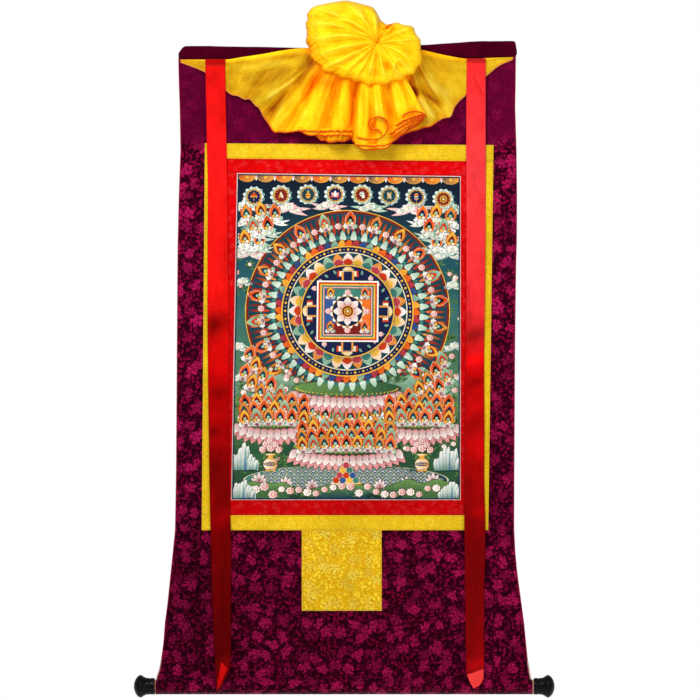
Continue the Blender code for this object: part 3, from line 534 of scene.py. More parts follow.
class Wiring:
    """Adds and joins nodes in one tree. A value may be a signal, a number or a tuple."""

    def __init__(self, tree):
        self.tree = tree

    def add(self, kind, inputs=None, **settings):
        node = self.tree.nodes.new("ShaderNode" + kind)
        for name, value in settings.items():
            setattr(node, name, value)
        self.fill(node.inputs, inputs or {})
        return Outputs(self, node)

    def fill(self, sockets, values):
        for name, value in values.items():
            value = getattr(value, "socket", value)
            if isinstance(value, bpy.types.NodeSocket):
                self.tree.links.new(value, sockets[name])
            else:
                sockets[name].default_value = value

    def math(self, operation, a, b=0.0):
        return self.add("Math", {0: a, 1: b}, operation=operation)[0]

    def vector(self, operation, a, b=(0.0, 0.0, 0.0)):
        return self.add("VectorMath", {0: a, 1: b}, operation=operation)[0]

    def scaled(self, vector, scale):
        return self.add("VectorMath", {0: vector, "Scale": scale}, operation="SCALE")[0]

    def parts(self, vector):
        return self.add("SeparateXYZ", {0: vector})

    def joined(self, x, y, z=0.0):
        return self.add("CombineXYZ", {0: x, 1: y, 2: z})[0]

    def stretched(self, vector, *factors):
        return self.joined(*(part * factor for part, factor in zip(self.parts(vector), factors)))

    def step(self, value, low, high, to_low=0.0, to_high=1.0):
        """A soft step from to_low, at low, to to_high, at high."""
        return self.add("MapRange", {"Value": value, "From Min": low, "From Max": high, "To Min": to_low,
                                     "To Max": to_high}, interpolation_type="SMOOTHSTEP")["Result"]

    def blend(self, share, a, b, kind="MIX"):
        return self.add("Mix", {0: share, 6: a, 7: b}, data_type="RGBA", blend_type=kind)[2]

    def shaded(self, colour, factor):
        """The colour made lighter or darker by a factor."""
        return self.blend(1.0, colour, self.joined(factor, factor, factor), "MULTIPLY")

    def ramp(self, value, stops):
        """Screen colours at their shares of the way."""
        node = self.add("ValToRGB", {"Fac": value})
        elements = node.node.color_ramp.elements
        while len(elements) < len(stops):
            elements.new(0.5)
        for element, (position, colour) in zip(elements, stops):
            element.position = position
            element.color = tone(*colour)
        return node["Color"]

    def noise(self, vector, scale, detail=2.0, roughness=0.5):
        return self.add("TexNoise", {"Vector": vector, "Scale": scale, "Detail": detail,
                                     "Roughness": roughness})["Fac"]

    def cells(self, vector, scale, randomness=1.0):
        """The place within each of many scattered cells, and three numbers of the cell's own."""
        cell = self.add("TexVoronoi", {"Vector": vector, "Scale": scale, "Randomness": randomness},
                        voronoi_dimensions="2D")
        inside = self.scaled(self.vector("SUBTRACT", vector, cell["Position"]), scale)
        return inside, self.parts(cell["Color"])

    def group(self, name, inputs):
        node = self.tree.nodes.new("ShaderNodeGroup")
        node.node_tree = bpy.data.node_groups[name]
        self.fill(node.inputs, inputs)
        return Outputs(self, node)

    def measure(self, name):
        return self.add("Attribute", attribute_name=name)["Fac"]

    def object_place(self):
        return self.add("TexCoord")["Object"]

    def bump(self, height, distance):
        return self.add("Bump", {"Height": height, "Distance": distance * MM, "Strength": 1.0})[0]


def start_group(name, numbers, outputs):
    """A node group that takes a place and the numbers named, with their defaults, and gives numbers."""
    group = bpy.data.node_groups.new(name, "ShaderNodeTree")
    group.interface.new_socket("Place", in_out="INPUT", socket_type="NodeSocketVector")
    for label, default in numbers.items():
        socket = group.interface.new_socket(label, in_out="INPUT", socket_type="NodeSocketFloat")
        socket.default_value = default
    for label in outputs:
        group.interface.new_socket(label, in_out="OUTPUT", socket_type="NodeSocketFloat")
    wire = Wiring(group)
    taken = Outputs(wire, group.nodes.new("NodeGroupInput"))
    return wire, taken, group.nodes.new("NodeGroupOutput").inputs


def make_weave_group():
    """Over and under of warp and weft, with uneven yarns."""
    wire, taken, given = start_group("plain weave", {"Yarn Width": 0.0005, "Satin": 0}, ["Height", "Yarn"])
    x, y, _ = wire.parts(wire.scaled(taken["Place"], math.pi / taken["Yarn Width"]))
    wave_x, wave_y = wire.math("SINE", x), wire.math("SINE", y)
    warp, weft = wire.math("ABSOLUTE", wave_x), wire.math("ABSOLUTE", wave_y)
    turn = wire.step(wave_x * wave_y, -0.25, 0.25)
    woven = warp * turn + weft * (1.0 - turn)
    wire.fill(given, {
        "Height": wire.add("Mix", {0: taken["Satin"], 2: woven, 3: warp}, data_type="FLOAT")[0],
        "Yarn": wire.noise(wire.stretched(taken["Place"], 900.0, 26.0), 1.0)})


def make_damask_group():
    """Woven roses, leaves and tendrils, scattered at one flower size."""
    wire, taken, given = start_group("damask flowers", {"Flower Size": 0.024},
                                     ["Flower", "Leaf", "Line", "Relief"])
    spot = wire.scaled(taken["Place"], 1.0 / taken["Flower Size"])
    bend = wire.add("TexNoise", {"Vector": spot, "Scale": 1.3, "Detail": 1.0})["Color"]
    bent = wire.vector("ADD", spot, wire.scaled(wire.vector("SUBTRACT", bend, (0.5, 0.5, 0.5)), 0.75))
    centre, luck = wire.cells(bent, 0.74, 0.85)
    x, y, _ = wire.parts(centre)
    turn = wire.math("ARCTAN2", y, x) + luck[0] * 6.28
    reach = wire.add("VectorMath", {0: centre}, operation="LENGTH")["Value"]
    lobe, lean = wire.math("COSINE", turn * 5.0), wire.math("COSINE", turn * 2.0)
    outside = reach - ((0.29 + luck[1] * 0.09) + (lobe * 0.03 + lean * 0.05))
    flower = wire.step(outside, -0.03, 0.02, 1.0, 0.0)
    # Petals lie in rings, each one paler towards its outer edge.
    ring = wire.math("FRACT", reach * 7.5 + lobe * 0.6)
    petals = wire.step(ring, 0.0, 0.5, 0.2, 1.0) * wire.step(luck[2], 0.0, 1.0, 0.5, 1.2)
    petals = petals * wire.step(wire.noise(spot, 5.5, 2.0, 0.6), 0.36, 0.62, 0.35, 1.25)
    gap = wire.step(lobe, -1.0, -0.75, 0.8, 0.0) * wire.step(reach, 0.1, 0.2)
    bloom = flower * (petals * (1.0 - gap))
    # Leaves and buds: short drops turned every way, kept clear of the roses.
    inside, leaf_luck = wire.cells(wire.vector("ADD", bent, (3.3, 7.1, 0.0)), 3.1)
    x, y, _ = wire.parts(inside)
    spin = leaf_luck[0] * 6.28
    cosine, sine = wire.math("COSINE", spin), wire.math("SINE", spin)
    along, across = x * cosine + y * sine, y * cosine - x * sine
    blade = wire.step(wire.math("ABSOLUTE", across) - (0.33 - along * along * 1.1), -0.08, 0.02, 1.0, 0.0)
    notch = wire.step(wire.math("SINE", along * 16.0), -0.4, 0.6, 0.55, 1.0)
    leaves = blade * notch * wire.step(leaf_luck[1], 0.0, 1.0, 0.25, 1.4) * wire.step(outside, 0.01, 0.06)
    edge = flower * (1.0 - wire.step(ring, 0.05, 0.3))
    wire.fill(given, {
        "Flower": bloom, "Leaf": leaves, "Line": wire.math("MAXIMUM", edge, gap * flower),
        "Relief": wire.math("MAXIMUM", bloom, leaves)})


def make_wear_group():
    """Broad unevenness of dye and light dust, with rubbed, paler edges."""
    wire, taken, given = start_group("cloth wear", {"Edge": 20.0, "Patch Size": 0.12}, ["Shade", "Rubbed"])
    spot = wire.scaled(taken["Place"], 1.0 / taken["Patch Size"])
    broad, fine = wire.noise(spot, 1.0, 3.0, 0.6), wire.noise(spot, 14.0, 2.0, 0.6)
    wire.fill(given, {
        "Shade": wire.step(broad, 0.3, 0.7, 0.86, 1.08) + wire.step(fine, 0.3, 0.7, -0.05, 0.05),
        "Rubbed": wire.step(taken["Edge"], 0.2, 2.4, 1.0, 0.0) * wire.step(fine, 0.35, 0.65, 0.4, 1.0)})


def start_material(name, roughness=0.5, specular=0.5, shine_tint=(1, 1, 1, 1)):
    material = bpy.data.materials.new(name)
    material.use_nodes = True
    wire = Wiring(material.node_tree)
    shader = material.node_tree.nodes["Principled BSDF"].inputs
    wire.fill(shader, {"Roughness": roughness, "Specular IOR Level": specular, "Specular Tint": shine_tint})
    return material, wire, shader


def start_cloth(name, yarn, satin=0.0, patch=0.12, **finish):
    """A material with its cloth place, its weave and its wear."""
    material, wire, shader = start_material(name, **finish)
    spot = wire.add("UVMap", uv_map="cloth")[0]
    weave = wire.group("plain weave", {"Place": spot, "Yarn Width": yarn * MM, "Satin": satin})
    wear = wire.group("cloth wear", {"Place": spot, "Edge": wire.measure("edge"), "Patch Size": patch})
    return material, wire, shader, spot, weave, wear


def damask_material(name, tones, size, shine, edge_tone=None, fall=None, creased=0.0):
    """A woven damask of ground, leaf, flower, outline and plainer tones. The measure named plain
    turns it to the last of them, and the one named lit brightens or shades it with painted light and
    shade. edge_tone: the cut edge, paler where the measure raw says so. fall: painted shade, darker
    from top to foot as the light falls off, as z in metres and factors. creased: how strongly short
    creases are marked with painted shade in the outline tone."""
    ground, leaf_tone, flower, line, plainer = (tone(*colour) for colour in tones)
    material, wire, shader, spot, weave, wear = start_cloth(name, 0.5, specular=0.3, shine_tint=flower)
    figure = wire.group("damask flowers", {"Place": spot, "Flower Size": size * MM})
    plain, relief = wire.measure("plain"), figure["Relief"]
    colour = wire.blend(figure["Leaf"], ground, leaf_tone)
    colour = wire.blend(figure["Flower"], colour, flower)
    colour = wire.blend(figure["Line"], colour, line)
    colour = wire.blend(plain, colour, plainer)
    grain = wire.noise(wire.scaled(spot, 1.0), 520.0, 2.0, 0.7)
    dashes = wire.noise(wire.stretched(spot, 90.0, 480.0), 1.0, 2.0, 0.6)
    depth = wire.step(plain, 0.0, 1.0, 0.3, 0.1)
    factor = wear["Shade"] * (1.0 + wire.step(grain, 0.3, 0.7, -1.0, 1.0) * depth)
    factor = factor * wire.step(dashes, 0.3, 0.7, 0.9, 1.08) * (1.0 + wire.measure("lit"))
    # Painted shade: the cloth darker towards its foot, as the light falls off.
    if fall:
        (high, at_high), (low, at_low) = fall
        factor = factor * wire.step(wire.parts(wire.object_place())[2], low, high, at_low, at_high)
    colour = wire.shaded(colour, factor)
    # Painted shade: short creases marked darker, in the outline tone.
    if creased:
        x, y, _ = wire.parts(spot)
        marks = wire.noise(wire.joined(x * 240.0 + y * 90.0, y * 60.0), 1.0, 2.0, 0.6)
        colour = wire.blend(wire.step(marks, 0.58, 0.7, 0.0, creased), colour, line)
    if edge_tone:
        cut_edge = wire.blend(wire.measure("raw"), tone(*edge_tone), tone(244, 222, 190))
        colour = wire.blend(wire.step(wire.measure("edge"), 0.8, 1.8, 1.0, 0.0), colour, cut_edge)
    raised = relief * wire.step(plain, 0.0, 1.0, 1.0, 0.35) + weave["Height"] * 0.45
    wire.fill(shader, {
        "Base Color": wire.blend(wear["Rubbed"] * 0.35, colour, flower),
        "Roughness": wire.step(relief, 0.0, 1.0, shine + 0.22, shine),
        "Normal": wire.bump(raised, 0.28)})
    return material


def plain_cloth_material(name, colour):
    material, wire, shader, _, weave, wear = start_cloth(name, 0.7, roughness=0.8, specular=0.2,
                                                         shine_tint=colour)
    wire.fill(shader, {
        "Base Color": wire.shaded(colour, wear["Shade"] * wire.step(weave["Yarn"], 0.2, 0.8, 0.85, 1.15)),
        "Normal": wire.bump(weave["Height"], 0.2)})
    return material


def thread_material(name, colour, pale=None):
    """Twisted sewing thread, turning pale where its measure of that name says so."""
    material, wire, shader = start_material(name, shine_tint=colour)
    twist = wire.add("TexWave", {"Vector": wire.object_place(), "Scale": 900.0, "Distortion": 2.0},
                     bands_direction="DIAGONAL")["Fac"]
    if pale:
        colour = wire.blend(wire.measure("pale"), colour, pale)
    wire.fill(shader, {"Base Color": wire.shaded(colour, wire.step(twist, 0.0, 1.0, 0.72, 1.12)),
                       "Normal": wire.bump(twist, 0.15)})
    return material


def satin_material(name, facet, stops):
    """Ribbon satin: long floats, fine streaks and soft blotches. stops: painted light and shade from the
    top down, bright at the top and dark at the foot, as z and colour. The facet colour is a painted
    highlight where the tip is folded over and catches the light."""
    material, wire, shader, _, weave, wear = start_cloth(
        name, 0.35, 1.0, 0.045, roughness=0.36, specular=0.4, shine_tint=tone(*stops[0][1]))
    z = wire.parts(wire.object_place())[2]
    fall = wire.add("MapRange", {"Value": z, "From Min": 0.0, "From Max": -1300 * MM})["Result"]
    # Painted light and shade: bright at the top of the ribbon, dark towards its foot.
    colour = wire.ramp(fall, [(at / -1300, shade) for at, shade in stops])
    # Painted highlight on the folded tip's facet.
    colour = wire.blend(wire.measure("tip"), colour, tone(*facet))
    # Painted highlight along the lip of the flap at the top.
    colour = wire.blend(wire.measure("lip"), colour, tone(250, 50, 36))
    # The lit measure paints sheen and shade on the satin.
    factor = wear["Shade"] * wire.step(weave["Yarn"], 0.2, 0.8, 0.84, 1.12) * (1.0 + wire.measure("lit"))
    selvedge = wire.step(wire.measure("edge"), 0.3, 1.6, 0.72, 1.0)
    wire.fill(shader, {
        "Base Color": wire.shaded(colour, factor * selvedge),
        "Roughness": wire.step(weave["Yarn"], 0.2, 0.8, 0.32, 0.44),
        "Normal": wire.bump(weave["Height"], 0.12)})
    return material


def silk_material(name):
    """Thin yellow silk with its light and shade painted in: lemon on the crests, deep orange deep in a
    fold, as painted shade that also stands for the layers piled up there, and a faint painted glow;
    duller in the wings' measure of that name, and sheer where a single layer hangs."""
    material, wire, shader, spot, weave, wear = start_cloth(name, 0.3, 0.4, 0.05, specular=0.3,
                                                            shine_tint=tone(255, 236, 90))
    uneven = wire.noise(wire.scaled(spot, 1.0), 34.0, 3.0, 0.6)
    streaks = wire.noise(wire.stretched(spot, 150.0, 9.0), 1.0, 3.0, 0.6)
    # Painted shade: the fold measure, with some unevenness, picks the tone from lit crest to deep fold.
    fold = wire.measure("fold") + wire.step(uneven, 0.3, 0.7, -0.1, 0.1)
    fold = fold + wire.step(streaks, 0.3, 0.7, -0.07, 0.07)
    bright, dull = (wire.ramp(fold * 0.75, stops) for stops in SILK_TONES)
    hem_tone = wire.blend(wire.measure("pale"), tone(236, 96, 16), tone(236, 150, 40))
    colour = wire.blend(wire.measure("hem"), wire.blend(wire.measure("dull"), bright, dull), hem_tone)
    crinkle = wire.noise(wire.stretched(spot, 130.0, 22.0), 1.0, 3.0, 0.6)
    wire.fill(shader, {
        "Base Color": wire.shaded(colour, wear["Shade"] * wire.step(weave["Yarn"], 0.2, 0.8, 0.93, 1.07)),
        "Roughness": wire.step(weave["Yarn"], 0.2, 0.8, 0.34, 0.46),
        # Painted glow: a faint orange emission standing for light through the silk, which warms its shade.
        "Emission Color": wire.blend(0.75, colour, tone(255, 96, 0)), "Emission Strength": 0.1,
        "Alpha": wire.measure("sheer"),
        "Normal": wire.bump(weave["Height"] * 0.08 + crinkle, 1.1)})
    return material


def painted_material(name):
    """Mineral paint and gold line on primed cotton, dry and slightly grainy."""
    material, wire, shader = start_material(name, specular=0.12)
    spot = wire.object_place()
    x, _, z = wire.parts(spot)
    flat = wire.joined(x, z)
    paint = wire.add("Attribute", attribute_name="paint")
    weave = wire.group("plain weave", {"Place": flat, "Yarn Width": 0.7 * MM})
    wear = wire.group("cloth wear", {"Place": flat, "Patch Size": 0.05})
    grain = wire.noise(spot, 420.0, 3.0, 0.7)
    gilded = 1.0 - paint["Alpha"]
    wire.fill(shader, {
        "Base Color": wire.shaded(paint["Color"], wear["Shade"] * wire.step(grain, 0.3, 0.7, 0.82, 1.16)),
        "Metallic": gilded * 0.5,
        "Roughness": wire.step(gilded, 0.0, 1.0, 0.72, 0.4),
        "Normal": wire.bump(weave["Height"] + grain, 0.1)})
    return material


def lacquer_material(name):
    """Black lacquer over turned wood, with faint turning rings and handling marks."""
    material, wire, shader = start_material(name, roughness=0.35, specular=0.1)
    spot = wire.object_place()
    rings = wire.add("TexWave", {"Vector": spot, "Scale": 260.0, "Distortion": 0.6},
                     bands_direction="X")["Fac"]
    marks = wire.noise(spot, 90.0, 4.0, 0.65)
    wire.fill(shader, {
        "Base Color": wire.blend(marks, tone(1, 1, 4), tone(4, 4, 9)),
        "Roughness": wire.step(marks, 0.3, 0.75, 0.3, 0.46),
        "Coat Weight": 0.06, "Coat Roughness": 0.12,
        "Normal": wire.bump(rings + marks, 0.04)})
    return material


def wood_material(name):
    material, wire, shader = start_material(name, roughness=0.6)
    grain = wire.noise(wire.stretched(wire.object_place(), 4.0, 90.0, 90.0), 1.0, 5.0, 0.6)
    wire.fill(shader, {
        "Base Color": wire.ramp(grain, WOOD_TONES),
        "Normal": wire.bump(grain, 0.3)})
    return material


WOOD_TONES = [(0.25, (112, 74, 38)), (0.5, (168, 122, 70)), (0.75, (196, 152, 96))]
# The silk's painted light and shade, from lit crest to deep fold: on the rosette and skirt, and on the wings.
SILK_TONES = [
    [(0.0, (255, 230, 50)), (0.2, (255, 210, 20)), (0.42, (252, 188, 8)), (0.62, (246, 160, 4)),
     (0.8, (228, 112, 2)), (1.0, (58, 4, 16))],
    [(0.0, (254, 230, 76)), (0.24, (236, 198, 30)), (0.46, (208, 158, 12)), (0.7, (156, 96, 10)),
     (1.0, (58, 4, 16))],
]
# A ribbon's painted highlight on its folded tip, and its painted light and shade from the top down, as z and
# colour.
SATIN_TONES = {
    "left": ((200, 12, 12), [
        (-40, (228, 20, 18)), (-260, (248, 26, 24)), (-480, (240, 20, 16)), (-640, (196, 4, 5)),
        (-850, (118, 2, 3)), (-1200, (84, 1, 3))]),
    "right": ((250, 66, 64), [
        (-40, (246, 44, 46)), (-240, (250, 62, 66)), (-520, (250, 46, 50)), (-620, (206, 6, 8)),
        (-860, (160, 3, 4)), (-990, (112, 2, 4)), (-1230, (128, 3, 5))]),
}
# Brocades: tones of ground, leaf, flower, outline and plainer cloth, flower size and shine.
BROCADES = {
    "maroon brocade": (((36, 0, 16), (140, 8, 58), (196, 24, 92), (20, 0, 10), (92, 3, 44)), 24, 0.42),
    "heading brocade": (((50, 0, 20), (84, 2, 32), (104, 4, 40), (34, 0, 12), (68, 0, 22)), 24, 0.5),
    "yellow brocade": (
        ((214, 162, 14), (238, 196, 32), (250, 220, 62), (190, 132, 8), (240, 200, 34)), 18, 0.36),
    "door patch brocade": (
        ((220, 168, 16), (254, 224, 54), (252, 226, 78), (176, 116, 6), (232, 190, 30)), 23, 0.36),
    "red brocade": (((206, 2, 4), (232, 6, 12), (246, 46, 48), (186, 0, 2), (236, 14, 18)), 12, 0.4),
}


def make_finishes():
    make_weave_group()
    make_damask_group()
    make_wear_group()

    def brocade(name, **more):
        return damask_material(name, *BROCADES[name], **more)

    return {
        "brocade": brocade("maroon brocade", edge_tone=(120, 10, 26), fall=((-0.45, 1.0), (-1.15, 0.72))),
        "heading": brocade("heading brocade"),
        "yellow": brocade("yellow brocade", creased=0.5),
        "patch": brocade("door patch brocade", creased=0.4),
        "red": brocade("red brocade", fall=((-0.25, 1.0), (-0.95, 0.76))),
        "lining": plain_cloth_material("red lining", tone(146, 18, 30)),
        "primed": plain_cloth_material("primed cotton", tone(240, 218, 208)),
        "painted": painted_material("painted cotton"),
        "ribbon_left": satin_material("red satin left", *SATIN_TONES["left"]),
        "ribbon_right": satin_material("red satin right", *SATIN_TONES["right"]),
        "silk": silk_material("cover silk"),
        "overlock": thread_material("overlock thread", tone(232, 84, 22), pale=tone(240, 168, 84)),
        "yellow_thread": thread_material("yellow thread", tone(236, 190, 40)),
        "red_thread": thread_material("red thread", tone(190, 10, 14)),
        "wood": wood_material("dowel wood"),
        "lacquer": lacquer_material("black lacquer"),
    }


# ---- brocade ground and heading -----------------------------------------------------------
def stiffness(x, z):
    """1 under the borders and at the two sewn ends, 0 where the cloth hangs free."""
    outside = np.maximum.reduce([STIFF_LEFT - x, x - STIFF_RIGHT, z - STIFF_TOP, STIFF_BOTTOM - z, x * 0])
    ends = np.minimum(SEAM_Z - z, z - STITCH_Z)
    return np.maximum(1 - ease(outside / STIFF_FADE), 1 - ease(ends / STIFF_FADE))


def ground_depth(x, z):
    """Depth of the middle of the brocade."""
    x, z = np.broadcast_arrays(np.asarray(x, float), np.asarray(z, float))
    hang = mix(SEAM_DEPTH, STITCH_DEPTH, (SEAM_Z - z) / (SEAM_Z - STITCH_Z))
    swell = np.zeros(x.shape)
    for cx, cz, across, along, lean, height in SWELLS:
        turn = math.radians(lean)
        dx, dz = x - cx, z - cz
        side = (dx * math.cos(turn) + dz * math.sin(turn)) / across
        down = (dz * math.cos(turn) - dx * math.sin(turn)) / along
        swell += height * np.exp(-side * side - down * down)
    return hang + swell * (1 - stiffness(x, z))


def ground_front(x, z):
    return ground_depth(x, z) + GROUND_THICK / 2


def brocade_measures(grid):
    """The cloth is plainer above the borders. It is shaded at the top left and the left foot, lit at
    the right foot, and its edges are raw beside the pocket."""
    x, z = grid[..., 0] / MM, grid[..., 2] / MM
    lit = 0
    for strength, at_x, wide, at_z, tall in BROCADE_LIGHT:
        lit = lit + strength * np.exp(-((x - at_x) / wide) ** 2 - ((z - at_z) / tall) ** 2)
    raw = (z < RAW_BELOW) * np.where(x > 0, 0.9, 0.35)
    return {"plain": 0.8 * ease((z + 202) / 24), "lit": lit, "raw": raw}


def make_ground(finish):
    """The tall brocade with its edges a little wavy and its foot sewn round the dowel."""
    columns, rows, turn_steps = 130, 220, 30
    share = np.linspace(0, 1, columns + 1)[None, :]
    fall = np.linspace(0, 1, rows + 1)[:, None]
    level = mix(SEAM_Z, STITCH_Z, fall)
    left, right = read_table(GROUND_EDGES, level, 1), read_table(GROUND_EDGES, level, 2)
    x = mix(left, right, share)
    seam = read_table(HEADING_ROWS, x[0], 2) - SEAM_BELOW
    z = mix(seam[None, :], STITCH_Z, fall)
    rim = np.minimum(x - left, right - x)
    free = 1 - stiffness(x, z)
    depth = ground_depth(x, z)
    depth += free * np.exp(-rim / 16) * ripples(z, 5, 60, 190) * 1.1
    depth += 0.45 * np.exp(-((z - STITCH_Z) / 16) ** 2) * ripples(x, 8, 14, 34)
    depth += 0.25 * ripples(x + z * 0.3, 11, 40, 120) * free
    front = place(x, depth, z)
    degrees = np.linspace(14, 346, turn_steps)
    turn = np.radians(degrees)
    flange_z = np.linspace(STITCH_Z - 2.6, FLANGE_TOP_Z, 3)
    spread = np.append(ease(np.minimum(degrees, 360 - degrees) / POCKET_SPREAD), [0.0] * 3)[:, None]
    hem_depth = np.append(DOWEL_DEPTH + POCKET_RADIUS * np.sin(turn), [FLANGE_DEPTH] * 3)[:, None]
    hem_z = np.append(DOWEL_Z + POCKET_RADIUS * np.cos(turn), flange_z)[:, None]
    hem_left = mix(read_table(GROUND_EDGES, hem_z, 1), POCKET_LEFT, spread)
    hem_right = mix(read_table(GROUND_EDGES, hem_z, 2), POCKET_RIGHT, spread)
    grid = np.concatenate([front, place(mix(hem_left, hem_right, share), hem_depth, hem_z)])
    cloth = cloth_lengths(grid, across=grid[..., 0])
    finishes = [finish["brocade"], finish["lining"], finish["lining"]]
    piece = add_cloth("brocade_cloth", grid, GROUND_THICK, finishes, cloth, brocade_measures(grid))
    hand_over(piece, "maroon_brocade", "brocade_panel")
    down, across = np.diff(grid, axis=0)[:, :-1], np.diff(grid, axis=1)[:-1]
    area = np.linalg.norm(np.cross(down, across), axis=-1).sum()
    length = float(np.ptp(cloth[..., 1]))
    return piece


def make_heading(finish):
    """Brocade wrapped round the stiff top, flat against the wall, with its ends tucked in."""
    stations = np.unique(np.concatenate([[row[0] for row in HEADING_ROWS], np.linspace(-333, 332, 130)]))
    rows = np.stack([stations, *(read_table(HEADING_ROWS, stations, column) for column in (1, 2))], 1)
    rows = np.vstack([rows[:1], rows, rows[-1:]])
    rows[0, 0] -= 0.8
    rows[-1, 0] += 0.8
    corner_steps = 7
    points, spots = [], []
    for s, (x, top, bottom) in enumerate(rows):
        top += 0.35 * float(ripples(np.array(x), 21, 30, 160))
        round_by = min(HEADING_ROUND, (top - bottom) / 2 - 0.5)
        tuck = 0.86 if s in (0, len(rows) - 1) else 1.0
        front = HEADING_DEPTH + 0.4 * float(ripples(np.array(x), 22, 40, 160))
        centres = [(round_by, top - round_by, 270), (front - round_by, top - round_by, 0),
                   (front - round_by, bottom + round_by, 90), (round_by, bottom + round_by, 180)]
        middle_depth, middle_z = front / 2, (top + bottom) / 2
        for depth, z, start in centres:
            for k in range(corner_steps + 1):
                turn = math.radians(start + 90 * k / corner_steps)
                at_depth = mix(middle_depth, depth + round_by * math.sin(turn), tuck)
                at_z = mix(middle_z, z + round_by * math.cos(turn), tuck)
                points.append((x * MM, -at_depth * MM, at_z * MM))
                starts = len(spots) % (4 * corner_steps + 4) == 0
                gone = 0.0 if starts else spots[-1][1] - math.dist(*points[-2:])
                spots.append((x * MM, gone))
    faces = tube_faces(len(rows), 4 * corner_steps + 4)
    piece = add_mesh("heading_wrap", points, faces, [finish["heading"]])
    add_cloth_place(piece, spots)
    add_measure(piece, "edge", [20.0] * len(points))
    add_measure(piece, "plain", [0.7] * len(points))
    piece.data.set_sharp_from_angle(angle=math.radians(60))
    hand_over(piece, "heading_cloth", "heading_roll")


# ---- borders, patch and canvas ------------------------------------------------------------
STITCH_INSET, STITCH_PITCH, STITCH_LENGTH, THREAD_RADIUS = 2.4, 3.6, 2.5, 0.28


def frame_corners(outline, inset):
    left_top, left_bottom, right_top, right_bottom, top_left, top_right, bottom = outline
    return [(left_top + inset, top_left - inset), (right_top - inset, top_right - inset),
            (right_bottom - inset, bottom + inset), (left_bottom + inset, bottom + inset)]


def crossing(a, b, c, d):
    """Where the line through a and b meets the line through c and d."""
    run_x, run_z = b[0] - a[0], b[1] - a[1]
    other_x, other_z = d[0] - c[0], d[1] - c[1]
    t = ((c[0] - a[0]) * other_z - (c[1] - a[1]) * other_x) / (run_x * other_z - run_z * other_x)
    return (a[0] + run_x * t, a[1] + run_z * t)


def on_corners(corners, u, v):
    """A place on a four-cornered piece: top left, top right, bottom right, bottom left."""
    (ax, az), (bx, bz), (cx, cz), (dx, dz) = corners
    return mix(mix(ax, bx, u), mix(dx, cx, u), v), mix(mix(az, bz, u), mix(dz, cz, u), v)


def sewn_piece(name, corners, thickness, finish, node, slot, thread, seed, flat_from=None, plain=0.0):
    """A flat piece sewn to the brocade, slightly puckered along its stitches. Where it is to be
    painted, it is quite flat from a little way in."""
    width = math.dist(corners[0], corners[1])
    height = math.dist(corners[0], corners[3])
    columns, rows = max(8, round(width / 4)), max(8, round(height / 4))
    u = np.linspace(0, 1, columns + 1)[None, :]
    v = np.linspace(0, 1, rows + 1)[:, None]
    x, z = on_corners(corners, u, v)
    rim = np.minimum(np.minimum(u, 1 - u) * width, np.minimum(v, 1 - v) * height)
    crown = 0.35 * (1 - np.exp(-rim / 3))
    pucker = 0.16 * np.exp(-rim / 7) * ripples(x + z, seed, 9, 26)
    ease_off = 0.2 * ripples(x * 0.8 - z, seed + 1, 60, 170) * (1 - np.exp(-rim / 12))
    relief = crown + pucker + ease_off - 0.15
    if flat_from:
        relief = pucker * (rim < flat_from)
    depth = ground_front(x, z) + SEWN_GAP + thickness / 2 + relief
    piece = add_cloth(name, place(x, depth, z), thickness, [finish], measures={"plain": plain + 0 * depth})
    hand_over(piece, slot, node)
    if thread:
        add_stitches(name + "_stitches", corners, STITCH_INSET, thickness, thread, slot)
    return piece, (width * MM, height * MM)


def stitch_shape(length, radius):
    """One stitch lying along x: points of a bowed, four-sided thread."""
    points = []
    for k, t in enumerate((-0.5, -0.3, 0.3, 0.5)):
        lift = 0.0 if k in (0, 3) else radius
        for px, pz in ((0, radius), (radius, 0), (0, -radius), (-radius, 0)):
            points.append((t * length, px * 0.8 + lift, pz))
    return np.array(points)


def add_stitch_rows(name, paths, front, thread, slot):
    """Stitches along straight paths on the face that front(x, z) gives the depth of."""
    shape = stitch_shape(STITCH_LENGTH, THREAD_RADIUS)
    points, faces = [], []
    draw = random.Random(len(name))
    for (ax, az), (bx, bz) in paths:
        run = math.dist((ax, az), (bx, bz))
        along = np.array([(bx - ax) / run, (bz - az) / run])
        for k in range(int(run / STITCH_PITCH)):
            t = (k + 0.5) * STITCH_PITCH / run
            cx, cz = mix(ax, bx, t), mix(az, bz, t) + draw.uniform(-0.12, 0.12)
            lean = draw.uniform(-0.05, 0.05)
            sx = cx + shape[:, 0] * along[0] - shape[:, 2] * (along[1] + lean)
            sz = cz + shape[:, 0] * (along[1] + lean) + shape[:, 2] * along[0]
            faces += tube_faces(4, 4, len(points) * len(shape))
            points.append(np.stack([sx, front(sx, sz) + shape[:, 1], sz], -1))
    stacked = np.vstack(points)
    piece = add_mesh(name, place(stacked[:, 0], stacked[:, 1], stacked[:, 2]), faces, [thread])
    return hand_over(piece, slot)


def add_stitches(name, corners, inset, thickness, thread, slot):
    (ax, az), (bx, bz), (cx, cz), (dx, dz) = corners
    ring = [(ax + inset, az - inset), (bx - inset, bz - inset),
            (cx - inset, cz + inset), (dx + inset, dz + inset)]

    def front(x, z):
        return ground_front(x, z) + SEWN_GAP + thickness + 0.1

    add_stitch_rows(name, list(zip(ring, ring[1:] + ring[:1])), front, thread, slot)


